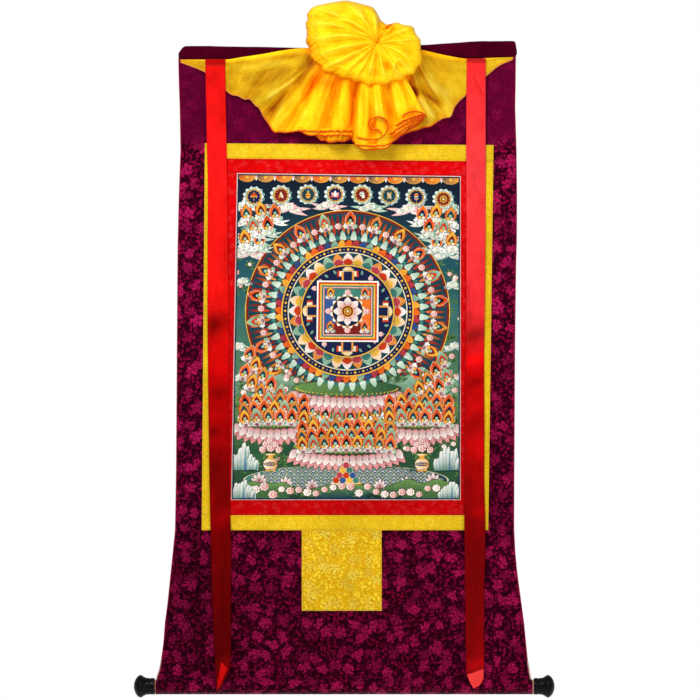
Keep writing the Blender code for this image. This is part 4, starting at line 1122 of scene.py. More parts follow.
def make_border(colour, outer_outline, inner_outline, finish, plain):
    outer = frame_corners(outer_outline, 0.0)
    inner = frame_corners(inner_outline, -SEAM_GAP)
    gap = SEAM_GAP
    top_left = crossing(outer[0], outer[3], inner[0], inner[1])
    top_right = crossing(outer[1], outer[2], inner[0], inner[1])
    low_left = crossing(outer[0], outer[3], inner[3], inner[2])
    low_right = crossing(outer[1], outer[2], inner[3], inner[2])
    strips = {
        "top": [outer[0], outer[1], top_right, top_left],
        "bottom": [low_left, low_right, outer[2], outer[3]],
        "left": [(top_left[0], top_left[1] - gap), (inner[0][0], inner[0][1] - gap),
                 (inner[3][0], inner[3][1] + gap), (low_left[0], low_left[1] + gap)],
        "right": [(inner[1][0], inner[1][1] - gap), (top_right[0], top_right[1] - gap),
                  (low_right[0], low_right[1] + gap), (inner[2][0], inner[2][1] + gap)],
    }
    for seed, (side, corners) in enumerate(strips.items()):
        node = f"{colour}_{side}"
        piece, flat = sewn_piece(node + "_strip", corners, STRIP_THICK, finish[colour], node,
                                 colour + "_brocade", finish[colour + "_thread"], seed * 3 + 31, plain=plain)


def make_door_patch(finish):
    left, right, top, bottom = DOOR_PATCH
    corners = [(left, top), (right, top), (right, bottom), (left, bottom)]
    piece, flat = sewn_piece("door_patch_cloth", corners, STRIP_THICK, finish["patch"], "door_patch",
                             "yellow_brocade", finish["yellow_thread"], 61)


# ---- the picture --------------------------------------------------------------------------
# A generic wheel of petals and flaming jewels over a lotus pond, laid as thin coats of paint.
# Its places are millimetres in a field that is then fitted to the sewn edges of the canvas.
FIELD_LEFT, FIELD_RIGHT, FIELD_LOW, FIELD_HIGH = -222.0, 222.0, -900.0, -252.0
FIELD_MARGIN = 1.7
PAINT_LIFT, PAINT_COAT = 0.04, 0.008
WHEEL_X, WHEEL_Z = 0.0, -524.0

PAINTS = {
    "ink": (12, 14, 26), "navy": (16, 26, 66), "blue": (48, 84, 142), "teal": (16, 62, 74),
    "sea": (62, 128, 112), "mint": (152, 194, 162), "grass": (104, 144, 74), "moss": (36, 78, 52),
    "cream": (240, 226, 190), "white": (250, 248, 240), "pink": (234, 164, 160), "rose": (188, 62, 76),
    "vermilion": (204, 56, 14), "flame": (238, 112, 30), "rust": (122, 28, 18), "ochre": (226, 150, 62),
    "gold": (238, 182, 62), "brown": (92, 56, 34),
}
#             z, paint of the sky and land behind everything
WASH_STOPS = [
    (-252, (6, 16, 34)),
    (-320, (10, 38, 56)),
    (-420, (26, 76, 88)),
    (-540, (52, 104, 98)),
    (-640, (78, 118, 88)),
    (-720, (66, 106, 66)),
    (-820, (46, 88, 56)),
    (-900, (28, 62, 42)),
]
# Small emblems for the roundels: shape, x, z, width, height, turn and paint, in unit size.
EMBLEMS = {
    "parasol": [
        ("box", 0, -0.2, 0.1, 1.3, 0, "gold"), ("dome", 0, 0.1, 1.4, 1.3, 0, "vermilion"),
        ("box", 0, 0.06, 1.4, 0.2, 0, "gold"), ("disc", -0.62, -0.12, 0.18, 0.3, 0, "pink"),
        ("disc", 0.62, -0.12, 0.18, 0.3, 0, "pink"), ("disc", 0, 0.78, 0.24, 0.24, 0, "gold")],
    "fishes": [
        ("leaf", -0.42, -0.62, 0.5, 1.5, -24, "ochre"), ("leaf", 0.42, -0.62, 0.5, 1.5, 24, "cream"),
        ("leaf", -0.42, -0.5, 0.3, 0.4, 150, "vermilion"),
        ("leaf", 0.42, -0.5, 0.3, 0.4, -150, "vermilion")],
    "vase": [
        ("box", 0, -0.72, 0.6, 0.14, 0, "gold"), ("disc", 0, -0.2, 1.1, 1.0, 0, "gold"),
        ("box", 0, -0.2, 1.06, 0.18, 0, "vermilion"), ("box", 0, 0.38, 0.36, 0.34, 0, "ochre"),
        ("box", 0, 0.54, 0.68, 0.14, 0, "gold"), ("disc", 0, 0.76, 0.32, 0.36, 0, "mint")],
    "lotus": [
        *(("leaf", 0, -0.55, width, length, turn, paint) for width, length, turn, paint in (
            (0.55, 1.1, 80, "rose"), (0.55, 1.1, -80, "rose"), (0.6, 1.25, 40, "pink"),
            (0.6, 1.25, -40, "pink"), (0.62, 1.35, 0, "white")))],
    "shell": [
        ("leaf", 0.35, -0.8, 0.7, 1.2, 20, "cream"), ("disc", -0.05, 0.15, 1.0, 0.9, 0, "white"),
        ("disc", -0.05, 0.17, 0.62, 0.56, 0, "sea"), ("disc", -0.02, 0.2, 0.34, 0.3, 0, "white")],
    "knot": [("box", 0, z, length, 0.14, turn, paint) for turn, paint in ((45, "gold"), (-45, "cream"))
             for z, length in ((0.34, 1.1), (0, 1.3), (-0.34, 1.1))],
    "banner": [
        ("box", 0, -0.1, 0.1, 1.6, 0, "gold"), ("dome", 0, 0.5, 0.8, 0.5, 0, "gold"),
        ("box", 0, 0.36, 0.9, 0.28, 0, "vermilion"), ("box", 0, 0.1, 0.8, 0.24, 0, "cream"),
        ("box", 0, -0.14, 0.9, 0.24, 0, "sea"), ("box", 0, -0.38, 0.8, 0.24, 0, "pink")],
    "wheel": [
        ("disc", 0, 0, 1.5, 1.5, 0, "gold"), ("disc", 0, 0, 1.14, 1.14, 0, "rust"),
        *(("box", 0, 0, 1.3, 0.11, turn, "gold") for turn in (0, 45, 90, 135)),
        ("disc", 0, 0, 0.4, 0.4, 0, "cream")],
}


def disc(width, height=None, count=20):
    turn = np.linspace(0, 2 * math.pi, count, endpoint=False)
    return np.stack([width / 2 * np.cos(turn), (height or width) / 2 * np.sin(turn)], 1)


def dome(width, height):
    turn = np.linspace(0, math.pi, 12)
    return np.stack([width / 2 * np.cos(turn), height / 2 * np.sin(turn)], 1)


def box(width, height):
    return np.array([(-width, -height), (width, -height), (width, height), (-width, height)]) / 2


def leaf(width, length, lean=0.0):
    """A petal, leaf or flame that grows from its base upwards; lean bends its tip aside."""
    t = np.linspace(0, 1, 10)
    half = width / 2 * np.sin(math.pi * t ** 0.78) ** 0.8
    middle = lean * t * t
    right = np.stack([middle + half, length * t], 1)
    left = np.stack([middle - half, length * t], 1)[::-1]
    return np.vstack([right, left[1:-1]])


def scallop(width, height, lobes, low=1.0):
    """A rim of round lobes, as a cloud or a flower has; low flattens its lower half."""
    turn = np.linspace(0, 2 * math.pi, lobes * 6, endpoint=False)
    reach = 0.8 + 0.2 * np.abs(np.sin(turn * lobes / 2))
    z = height / 2 * np.sin(turn) * reach
    return np.stack([width / 2 * np.cos(turn) * reach, np.where(z < 0, z * low, z)], 1)


SHAPES = {"disc": disc, "dome": dome, "box": box, "leaf": leaf}
# A jewel's body, and the flame round it: paint, tip and outline.
JEWELS = [("navy", "vermilion flame cream"), ("rust", "flame gold ink"), ("teal", "vermilion ochre ink"),
          ("ink", "flame vermilion cream"), ("vermilion", "teal mint gold")]


def turned(outline, x, z, turn=0.0, size=1.0):
    cosine, sine = math.cos(math.radians(turn)) * size, math.sin(math.radians(turn)) * size
    return np.stack([x + outline[:, 0] * cosine - outline[:, 1] * sine,
                     z + outline[:, 0] * sine + outline[:, 1] * cosine], 1)


def brush_line(path, width):
    """A stroke along a path, fine at both ends."""
    path = np.asarray(path, float)
    run = unit(np.gradient(path, axis=0))
    t = np.linspace(0, 1, len(path))
    half = (width / 2 * np.minimum(1, 0.25 + 4 * np.minimum(t, 1 - t)))[:, None]
    side = np.stack([-run[:, 1], run[:, 0]], 1) * half
    return np.vstack([path + side, (path - side)[::-1]])


def curl(radius, turns, start=0.0, hand=1):
    """A spiral path from its outer end inwards."""
    t = np.linspace(0, 1, int(14 * turns) + 4)
    angle = math.radians(start) + hand * 2 * math.pi * turns * t
    reach = radius * (1 - 0.82 * t)
    return np.stack([reach * np.cos(angle), reach * np.sin(angle)], 1)


def around(count, first=0.0, sweep=360.0):
    """Evenly spaced turns, in degrees."""
    return [first + sweep * k / count for k in range(count)]


def on_circle(x, z, radius, degrees):
    angle = math.radians(degrees)
    return x + radius * math.cos(angle), z + radius * math.sin(angle)


class Painting:
    """Coats of paint. A higher coat lies in front of a lower one."""

    def __init__(self):
        self.rows, self.faces = [], []

    def lay(self, outline, coat, paint, second=None, share=None, gilt=0.0):
        """One flat shape, clipped to the field. With a second paint it shades towards that, by
        share, or else by the distance from the first point, or from the middle of a big ring."""
        count = len(outline)
        if share is None:
            share = np.linalg.norm(outline - (outline[0] if count < 100 else outline.mean(0)), axis=1)
            share = (share - share.min()) / max(np.ptp(share), 1e-6)
        first_tone = np.array(tone(*PAINTS[paint])[:3])
        second_tone = np.array(tone(*PAINTS[second or paint])[:3])
        tones = first_tone + (second_tone - first_tone) * np.asarray(share)[:, None]
        area = np.cross(outline, np.roll(outline, -1, axis=0)).sum()
        rows = np.column_stack([outline, tones, np.full(count, 1 - gilt)])
        rows = (rows if area > 0 else rows[::-1]).tolist()
        for axis, limit, sign in ((0, FIELD_LEFT, 1), (0, FIELD_RIGHT, -1),
                                  (1, FIELD_LOW, 1), (1, FIELD_HIGH, -1)):
            rows = clipped(rows, axis, limit, sign)
        if len(rows) > 2:
            first = len(self.rows)
            self.rows += [row + [coat] for row in rows]
            self.faces.append(tuple(range(first, first + len(rows))))

    def lined(self, outline, coat, paint, second=None, line="ink", width=0.9):
        """A shape with a drawn line round it; takes two coats."""
        centre = outline.mean(0)
        reach = np.linalg.norm(outline - centre, axis=1).mean()
        self.lay(centre + (outline - centre) * (1 + width / reach), coat, line)
        self.lay(outline, coat + 1, paint, second)


def clipped(rows, axis, limit, sign):
    """The rows of an outline on one side of a straight limit."""
    kept = []
    for a, b in zip(rows, rows[1:] + rows[:1]):
        inside_a, inside_b = (a[axis] - limit) * sign, (b[axis] - limit) * sign
        if inside_a >= 0:
            kept.append(a)
        if (inside_a >= 0) != (inside_b >= 0):
            t = inside_a / (inside_a - inside_b)
            kept.append([mix(p, q, t) for p, q in zip(a, b)])
    return kept


def draw_wash(art):
    """Sky above and land below, with soft brushed bands."""
    stops = np.array([(z, *tone(*colour)[:3]) for z, colour in WASH_STOPS])
    levels = np.linspace(FIELD_HIGH, FIELD_LOW, 40)
    for top, bottom in zip(levels, levels[1:]):
        first = len(art.rows)
        for x, z in ((FIELD_LEFT, bottom), (FIELD_RIGHT, bottom), (FIELD_RIGHT, top), (FIELD_LEFT, top)):
            shade = [float(np.interp(z, stops[::-1, 0], stops[::-1, 1 + k])) for k in range(3)]
            art.rows.append([x, z, *shade, 1.0, 0])
        art.faces.append(tuple(range(first, first + 4)))


def pen(art, x, z, coat, size=1.0, turn=0.0):
    """A brush for one motif, which is given in its own size, place, turn and lowest coat. Two paints
    shade into each other, and a third one is a drawn line round the shape. With a brush width, a
    path is given instead of an outline."""
    def put(step, paints, outline, dx=0.0, dz=0.0, lean=0.0, line=0.7, gilt=0.0, brush=None):
        outline = turned(turned(outline, dx, dz, lean), x, z, turn, size)
        if brush:
            outline = brush_line(outline, brush)
        paints = paints.split()
        if len(paints) == 3:
            art.lined(outline, coat + step, *paints, line)
        else:
            art.lay(outline, coat + step, *paints, gilt=gilt)

    return put


def out(radius, degrees):
    return on_circle(0, 0, radius, degrees)


def draw_cloud(art, x, z, width, coat, tint="mint", hand=1):
    """A bank of three rolled lobes with curls and trailing wisps; takes nine coats."""
    put = pen(art, x, z, coat, width)
    for turn, reach in ((78, 0.9), (-80, 0.85), (97, 0.7), (-99, 0.74)):
        put(0, f"white {tint} teal", leaf(0.13, reach, hand * 0.06), 0, -0.04, turn)
    for k, (dx, dz, size) in enumerate(((-0.27, -0.01, 0.56), (0.26, -0.03, 0.52), (0.0, 0.08, 0.66))):
        at = (hand * dx, dz)
        put(2 + 2 * k, f"{tint} white teal", scallop(size, size * 0.62, 9, 0.6), *at, line=0.8)
        put(4 + 2 * k, "white cream", scallop(size * 0.6, size * 0.36, 7, 0.6), *at)
        put(5 + 2 * k, "sea", curl(size * 0.17, 1.4, 200, hand), at[0], dz + 0.02, brush=1.0)


def draw_flower(art, x, z, size, coat, deep="rose", pale="pink", turn=0.0):
    """A peony: three frilled rounds and a gold heart; takes five coats."""
    put = pen(art, x, z, coat, size)
    put(0, f"{pale} white rose", scallop(1, 0.92, 7), lean=turn, line=0.6)
    put(2, f"{deep} {pale}", scallop(0.68, 0.62, 6), lean=turn + 20)
    put(3, f"white {pale}", scallop(0.42, 0.4, 5), 0, 0.03, turn)
    put(4, "gold", disc(0.16, None, 8), gilt=0.6)


def draw_sprig(art, x, z, size, coat, turn=0.0, count=5):
    """Leaves fanned from one stalk; takes two coats."""
    put = pen(art, x, z, coat, size, turn)
    for k in range(count):
        spread = (k / (count - 1) - 0.5) * 150
        put(0, "moss grass ink", leaf(0.3, 1, 0.1 * math.copysign(1, spread + 1)), lean=-spread, line=0.5)


def draw_lotus(art, x, z, size, coat, deep="rose"):
    """An open lotus seen from the side; takes four coats."""
    put = pen(art, x, z, coat, size)
    for step, width, length, turns in ((0, 0.3, 0.62, (84, -84)), (0, 0.3, 0.74, (58, -58)),
                                       (2, 0.34, 0.84, (30, -30)), (2, 0.34, 0.94, (0,))):
        for turn in turns:
            put(step, f"{deep} white rust", leaf(width, length), lean=turn, line=0.6)


def draw_jewel(art, x, z, size, coat, turn=0.0, luck=0):
    """Three jewels in a flame on a lotus; takes nine coats."""
    put = pen(art, x, z, coat, size, turn)
    body, flame = JEWELS[luck % len(JEWELS)]
    put(0, "mint white teal", scallop(1.12, 0.62, 9, 0.7), 0, -0.34)
    for side in (-1, 1):
        put(2, "flame vermilion", leaf(0.4, 0.86, side * 0.22), side * 0.16, -0.32)
    put(3, flame, leaf(0.74, 1.2), 0, -0.4)
    put(5, body, leaf(0.5, 0.84), 0, -0.34)
    for dx, dz, paint in ((-0.13, -0.1, "gold"), (0.13, -0.1, "cream"), (0, 0.1, "mint")):
        put(6, paint, disc(0.22, None, 12), dx, dz, gilt=0.4)
    for lean in (-62, 62, -30, 30, 0):
        put(7, "rose white rust", leaf(0.2, 0.34), 0, -0.48, lean, line=0.5)


def draw_emblem(art, x, z, size, name, coat):
    put = pen(art, x, z, coat, size)
    for k, (shape, dx, dz, width, height, turn, paint) in enumerate(EMBLEMS[name]):
        put(k, f"{paint} {paint} ink", SHAPES[shape](width, height), dx, dz, turn, line=0.4)


def draw_roundel(art, x, z, radius, name, ground, coat):
    """An emblem on a round ground, in a collar of cloud; takes twenty coats."""
    put = pen(art, x, z, coat, radius)
    put(0, "sea white teal", scallop(3.1, 2.9, 12, 0.95), line=0.9)
    put(2, "white mint", scallop(2.7, 2.6, 12), lean=15)
    for turn in around(6, 30):
        put(3, "sea", curl(0.26, 1.2, turn), *out(1.22, turn), brush=0.8)
    put(4, "gold gold rust", disc(2.06))
    put(6, ground, disc(1.84))
    for turn in around(12):
        put(7, "cream", disc(0.09, None, 6), *out(0.82, turn))
    draw_emblem(art, x, z, radius * 0.66, name, coat + 8)


def draw_ring(put, step, inner, outer, count, paints, line, point=1.0, lean=0.0):
    """Petals or flames side by side round the wheel, in turn in the paints given."""
    wide = 2 * math.pi * (inner * 0.4 + outer * 0.6) / count * 0.98
    for k, turn in enumerate(around(count, 90)):
        petal = leaf(wide, (outer - inner) * point, lean)
        put(step, f"{paints[k % len(paints)]} {line}", petal, *out(inner, turn), turn - 90)


def draw_wheel(art, coat):
    """Rings of cloud, flame, dots and petals round a square of nested walls with four gates."""
    x, z = WHEEL_X, WHEEL_Z
    put = pen(art, x, z, coat)
    put(0, "white mint teal", scallop(324, 324, 44), line=1.2)
    put(2, "teal sea", scallop(306, 306, 44), lean=4)
    put(3, "rust rust ink", disc(284, None, 72), line=0.8)
    flames = ("vermilion flame", "flame gold", "teal mint", "navy blue", "rust rose")
    draw_ring(put, 5, 127, 144, 60, flames, "ink", lean=3.0)
    put(7, "gold", disc(262, None, 72), gilt=0.5)
    put(8, "navy", disc(257, None, 72))
    for turn in around(48):
        put(9, "gold", box(4.2, 4.2), *out(123.5, turn), turn + 45, gilt=0.5)
        put(9, "cream", disc(1.9, None, 6), *out(123.5, turn + 3.75))
    put(10, "cream", disc(237, None, 72))
    put(11, "teal", disc(233, None, 72))
    draw_ring(put, 12, 92, 117, 32, ("rose white", "vermilion ochre", "teal mint", "flame cream"), "ink")
    draw_ring(put, 14, 92, 110, 32, ("rust vermilion", "rust rose", "teal sea", "brown gold"), "cream", 0.8)
    put(16, "gold gold ink", disc(186, None, 64), line=0.6)
    put(18, "navy", disc(181, None, 64))
    for turn in around(28, 4):
        put(19, "sea mint", leaf(5.0, 9.0, 2.0), *out(78, turn), turn - 50)
        if turn % 90 > 30 and turn % 90 < 60:
            draw_flower(art, *on_circle(x, z, 80, turn), 10, coat + 20)
    # Four gates, each of five pieces.
    for turn in around(4):
        for k, (width, height, reach, paint) in enumerate(((42, 12, 75, "vermilion"), (34, 10, 75, "cream"),
                                                           (24, 20, 68, "ochre"), (16, 20, 69, "navy"))):
            put(20 + k, f"{paint} {paint} ink", box(width, height), *out(reach, turn), turn + 90, line=0.5)
        put(24, "gold cream rust", dome(20, 16), *out(81, turn), turn - 90, line=0.5)
    for k, (side, paint) in enumerate(((124, "ink"), (122, "white"), (116, "vermilion"), (109, "gold"),
                                       (103, "sea"), (97, "pink"), (92, "ink"))):
        put(26 + k, paint, box(side, side))
    for k, paint in enumerate(("flame", "sea", "blue", "rust")):
        put(33, paint, np.array([(0, 0), (45, -45), (45, 45)], float), lean=90 * k)
    for k, turn in enumerate(around(4, 45)):
        draw_jewel(art, *on_circle(x, z, 48, turn), 19, coat + 34, 0, k)
    for turn in around(4):
        draw_flower(art, *on_circle(x, z, 38, turn), 12, coat + 34)
    put(40, "cream white rust", scallop(70, 70, 16), line=0.6)
    put(42, "navy navy gold", disc(60, None, 40), line=1.0)
    for k, turn in enumerate(around(8, 90)):
        paints = ("rose white cream", "vermilion white cream")[k % 2]
        put(44, paints, leaf(15, 20), *out(8, turn), turn - 90, line=0.6)
    put(46, "rust rust gold", disc(22), line=1.2)
    draw_emblem(art, x, z, 10, "wheel", coat + 48)


def draw_seat(art, x, z, width, coat):
    """The lotus that the wheel stands on: two curved rows of petals and a green crown."""
    put = pen(art, x, z, coat)
    spacing = 12.5
    full = int(width / spacing)
    for row, count, length, drop, petal, rib in ((0, full + 1, 30, -4, "rose pink rust", "white"),
                                                 (1, full, 24, 0, "rose white rust", "pink")):
        for k in range(count):
            share = (k + 0.5) / count * 2 - 1
            at = (width * 0.47 * share, 10 + drop - 15 * math.sqrt(1 - share * share), 180 + 46 * share)
            put(2 * row, petal, leaf(width / count * 1.3, length), *at)
            path = np.array([(0, 3), (0, length * 0.4), (0, length * 0.75)])
            put(2 + 2 * row, rib, path, *at, brush=0.8)
    put(5, "moss grass ink", disc(width * 0.98, 30, 40), 0, 12, line=0.8)
    for turn in around(31, 180, 186):
        bead_x, bead_z = out(1, turn)
        put(7, "gold", disc(2.8, None, 8), width * 0.46 * bead_x, 12 + 12.6 * bead_z, gilt=0.5)


def draw_terrace(art, x, z, width, rows, coat):
    """A lotus seat crowded with flaming jewels; takes nine coats a row and eight more."""
    draw_seat(art, x, z, width, coat)
    for row in range(rows, 0, -1):
        count = int(width / 20) - row % 2
        for k in range(count):
            share = (k + 0.5) / count * 2 - 1
            draw_jewel(art, x + share * width * 0.45, z - 1 + row * 16 - 5 * share * share, 27,
                       coat + 8 + 9 * (rows - row), -8 * share, k * 3 + row)


def draw_aureole(art, coat):
    """A gold-edged disc of rays behind the wheel; takes five coats."""
    put = pen(art, WHEEL_X, WHEEL_Z, coat)
    put(0, "rust rust gold", disc(402, None, 90), line=1.6)
    put(2, "teal", disc(393, None, 90))
    for k, turn in enumerate(around(108)):
        paint = ("flame", "rust", "vermilion", "ochre")[k % 4]
        put(3, f"{paint} rust", leaf(6.4, 42), *out(153, turn), turn - 90)


def draw_thicket(art, left, right, low, high, count, coat, seed):
    """Leaves and blossom scattered over a stretch of ground; takes eight coats."""
    draw = random.Random(seed)
    for k in range(count):
        x, z = draw.uniform(left, right), draw.uniform(low, high)
        draw_sprig(art, x, z, draw.uniform(8, 13), coat, draw.uniform(-50, 50), 4)
        if k % 3 == 0:
            pale = ("white", "pink")[k % 4 > 1]
            draw_flower(art, x, z, draw.uniform(7, 12), coat + 2, ("rose", "vermilion")[k % 2], pale)


def draw_vase(art, x, z, size, coat):
    """A gold vase with peonies and leaves; takes twelve coats."""
    put = pen(art, x, z, coat, size)
    for turn in (-62, -30, 0, 30, 62):
        draw_sprig(art, *on_circle(x, z + size * 0.46, size * 0.12, 90 - turn), size * 0.5, coat, -turn, 3)
    for dx, dz, flower in ((-0.42, 0.66, 0.36), (0.42, 0.66, 0.36), (0, 1.12, 0.36), (-0.26, 0.94, 0.34),
                           (0.26, 0.94, 0.34), (0, 0.74, 0.42)):
        draw_flower(art, x + dx * size, z + dz * size, size * flower, coat + 3, turn=dx * 90)
    put(8, "ochre gold rust", box(0.5, 0.1), 0, -0.42, line=0.6)
    put(8, "ochre cream rust", disc(0.72, 0.66), 0, -0.1)
    put(10, "navy blue", disc(0.7, 0.2), 0, -0.1)
    for k in range(5):
        put(11, "gold", box(0.07, 0.07), (k - 2) * 0.12, -0.1, 45)
    put(10, "gold ochre rust", box(0.26, 0.22), 0, 0.28, line=0.6)
    put(12, "gold cream rust", disc(0.52, 0.1), 0, 0.4, line=0.6)


ROCK = np.array([(-0.5, 0), (0.5, 0), (0.42, 0.7), (0.12, 1), (-0.2, 0.94), (-0.46, 0.6)])
ROCK_FACET = np.array([(0, 0), (0.4, 0), (0.34, 0.66), (0.1, 0.92)])


def draw_rocks(art, x, z, width, height, coat, seed):
    """Standing crystal rocks, the tall ones behind; takes about twenty coats."""
    draw = random.Random(seed)
    for k in range(9):
        share = (k * 5 % 9) / 8 * 2 - 1
        tall = height * (1 - 0.55 * abs(share)) * draw.uniform(0.75, 1.1)
        wide = width * draw.uniform(0.2, 0.3)
        put = pen(art, x + share * width * 0.42, z, coat + 2 * k, 1.0, -share * 10)
        put(0, "sea white ink", ROCK * (wide, tall))
        put(2, "blue mint", ROCK_FACET * (wide, tall))


def draw_hill(art, x, z, width, height, coat, seed, paint="moss", top="grass"):
    """A rolling hill with tufts along its brow; takes three coats."""
    t = np.linspace(0, 1, 40)
    brow = height * np.sin(math.pi * t) ** 0.8 * (1 + 0.12 * ripples(t, seed, 0.12, 0.4, 5))
    foot = [(x + width / 2, z - 60), (x - width / 2, z - 60)]
    outline = np.vstack([np.stack([x + (t - 0.5) * width, z + brow], 1), foot])
    share = np.clip((outline[:, 1] - z) / height, 0, 1)
    art.lay(outline + np.array([0, 1.0]), coat, "ink")
    art.lay(outline, coat + 1, paint, top, share)
    put = pen(art, x, z, coat)
    for k in range(2, 38, 2):
        at = ((t[k] - 0.5) * width, brow[k] - 6 - 5 * (k % 3), 12)
        put(2, "moss mint", leaf(1.8, 5.5, 1.2), *at)


def draw_pond(art, x, z, width, height, coat):
    """Rows of round waves within an oval shore."""
    put = pen(art, x, z, coat)
    put(0, "teal sea cream", disc(width, height, 60), line=1.6)
    step, fall = 15.0, 7
    for row in range(int(height / fall)):
        dz = height / 2 - 9 - row * fall
        half = width / 2 * math.sqrt(max(1 - (dz / (height / 2)) ** 2, 0)) - 10
        count = int(2 * half / step)
        for k in range(count):
            dx = (k - (count - 1) / 2) * step + (row % 2) * step / 2 - step / 4
            for size, paint in ((15.4, "cream"), (13.8, "teal"), (10.4, "mint"), (8.8, "blue"),
                                (5, "white"), (3.4, "teal")):
                put(2 + row + (15.4 - size) * 0.05, paint, dome(size, size), dx, dz - 4)


# Clouds: x, z and width. Hills: x, z, width, height, coat and top paint.
CLOUDS = [(-196, -318, 62), (-120, -322, 54), (-40, -316, 46), (44, -318, 46), (122, -322, 54),
          (198, -318, 62), (-196, -412, 60), (200, -410, 58), (-206, -470, 44), (208, -474, 44),
          (-192, -660, 60), (196, -656, 62), (-214, -600, 46), (214, -596, 44)]
HILLS = [(-150, -690, 190, 44, 13, "mint"), (150, -688, 190, 46, 13, "mint"), (-60, -730, 200, 40, 16, "sea"),
         (80, -728, 210, 44, 16, "sea"), (-190, -750, 170, 56, 19, "grass"),
         (190, -752, 170, 58, 19, "grass"), (0, -772, 300, 34, 22, "grass")]
CORNER_JEWELS = [(146, -332), (174, -328), (203, -334), (160, -356), (189, -358), (176, -386), (205, -384)]


def draw_sky(art):
    """The valance, clouds, roundels, sun and moon, and the hills under them."""
    for k in range(12):
        valance = turned(dome(36, 30), FIELD_LEFT + 18.5 + 37 * k, FIELD_HIGH, 180)
        art.lined(valance, 2, ("vermilion", "teal")[k % 2], "ochre", "gold", 1.4)
        art.lay(turned(disc(6), FIELD_LEFT + 18.5 + 37 * k, FIELD_HIGH - 6), 4, "gold", gilt=0.5)
        art.lay(turned(leaf(5, 13), FIELD_LEFT + 37 * k, FIELD_HIGH, 180), 4, "rose", "white")
    for x, z, width in CLOUDS:
        draw_cloud(art, x, z, width, 3, ("mint", "pink", "sea")[int(abs(z)) % 3], 1 if x < 0 else -1)
    for k, name in enumerate(EMBLEMS):
        share = (k - 3.5) / 3.5
        ground = ("navy", "rust", "teal")[k % 3]
        draw_roundel(art, share * 189, -290 - 7 * share * share, 14.5, name, ground, 14)
    for x, ring, face in ((-190, "white", "mint"), (190, "vermilion", "gold")):
        put = pen(art, x, -366, 14)
        put(0, "white sea teal", scallop(50, 46, 12), line=0.9)
        put(2, f"{ring} {face} rust", disc(31), line=0.8)
        put(4, f"{face} {ring}", disc(22))
        draw_cloud(art, x, -384, 52, 19, "mint", 1 if x < 0 else -1)
    for x, z, width, height, coat, top in HILLS:
        draw_hill(art, x, z, width, height, coat, int(abs(x) + height), "moss", top)


def draw_middle(art):
    """Jewels, blossom and leaves round the wheel on its seat."""
    for side in (-1, 1):
        for k, (x, z) in enumerate(CORNER_JEWELS):
            coat = 24 + 17 * (k // 3)
            draw_jewel(art, side * x, z, 28, coat, -8 * side, k)
            draw_cloud(art, side * (x + 2), z - 17, 38, coat + 8, ("white", "mint")[k % 2], side)
        draw_thicket(art, *sorted((side * 130, side * 222)), -640, -420, 50, 3, 6 + side)
        draw_thicket(art, *sorted((side * 20, side * 222)), -880, -640, 130, 25, 3 + side)
    draw_aureole(art, 8)
    for radius, coat, first, sweep in ((213, 34, 205, 134), (238, 43, 212, 120)):
        for k, turn in enumerate(around(20, first, sweep)):
            draw_jewel(art, *on_circle(WHEEL_X, WHEEL_Z, radius, turn), 27, coat, (turn - 270) * 0.3, k)
    for k, turn in enumerate(around(17, -42, 278)):
        draw_jewel(art, *on_circle(WHEEL_X, WHEEL_Z, 179, turn), 27, 16, turn - 90, k)
    for turn in around(17, -34, 278):
        draw_sprig(art, *on_circle(WHEEL_X, WHEEL_Z, 170, turn), 10, 14, turn - 90, 4)
        draw_flower(art, *on_circle(WHEEL_X, WHEEL_Z, 171, turn), 13, 16)
    draw_seat(art, 0, -690, 216, 52)
    draw_wheel(art, 60)


def draw_foot(art):
    """The pond with its three seats of jewels, a bowl of balls, rocks, vases and blossom."""
    draw_pond(art, 0, -862, 396, 60, 58)
    for x in (-142, 142):
        draw_terrace(art, x, -754, 152, 3, 68)
    draw_terrace(art, 0, -806, 214, 3, 104)
    for side in (-1, 1):
        draw_rocks(art, side * 200, -842, 52, 58, 104, 8 + side)
        draw_vase(art, side * 148, -826, 38, 124)
        for k, (x, z, size) in enumerate(((170, -868, 24), (118, -874, 22), (66, -878, 20))):
            pen(art, side * x, z, 140, size)(0, "moss grass ink", disc(1.5, 0.5), 0, -2 / size)
            draw_lotus(art, side * x, z, size, 142, ("rose", "vermilion")[k % 2])
    put = pen(art, 0, -868, 144)
    put(0, "ochre flame rust", dome(58, 44), lean=180, line=0.8)
    put(2, "gold cream rust", disc(62, 9))
    for k in range(10):
        row = (k > 3) + (k > 6) + (k > 8)
        dx = (k - (0, 4, 7, 9)[row] - (3 - row) / 2) * 13
        paint = ("vermilion", "blue", "gold", "sea", "rose")[k % 5]
        put(4 + row, f"{paint} {paint} cream", disc(12.5), dx, 6 + 10 * row, line=0.6)
    for x, width, height, paint in ((-160, 200, 26, "moss"), (150, 220, 30, "moss"), (0, 220, 20, "teal")):
        draw_hill(art, x, -892, width, height, 150, width, paint)
    draw_rocks(art, -202, -898, 46, 44, 153, 12)
    draw_rocks(art, 204, -898, 44, 40, 153, 14)
    draw = random.Random(5)
    for k in range(22):
        x = -176 + 352 * k / 21
        z = -888 + draw.uniform(-5, 12)
        draw_sprig(art, x, z - 3, 13, 154, draw.uniform(-20, 20))
        draw_flower(art, x, z + 2, draw.uniform(12, 18), 156, ("rose", "vermilion")[k % 4 == 0],
                    ("pink", "white")[k % 3 == 0])


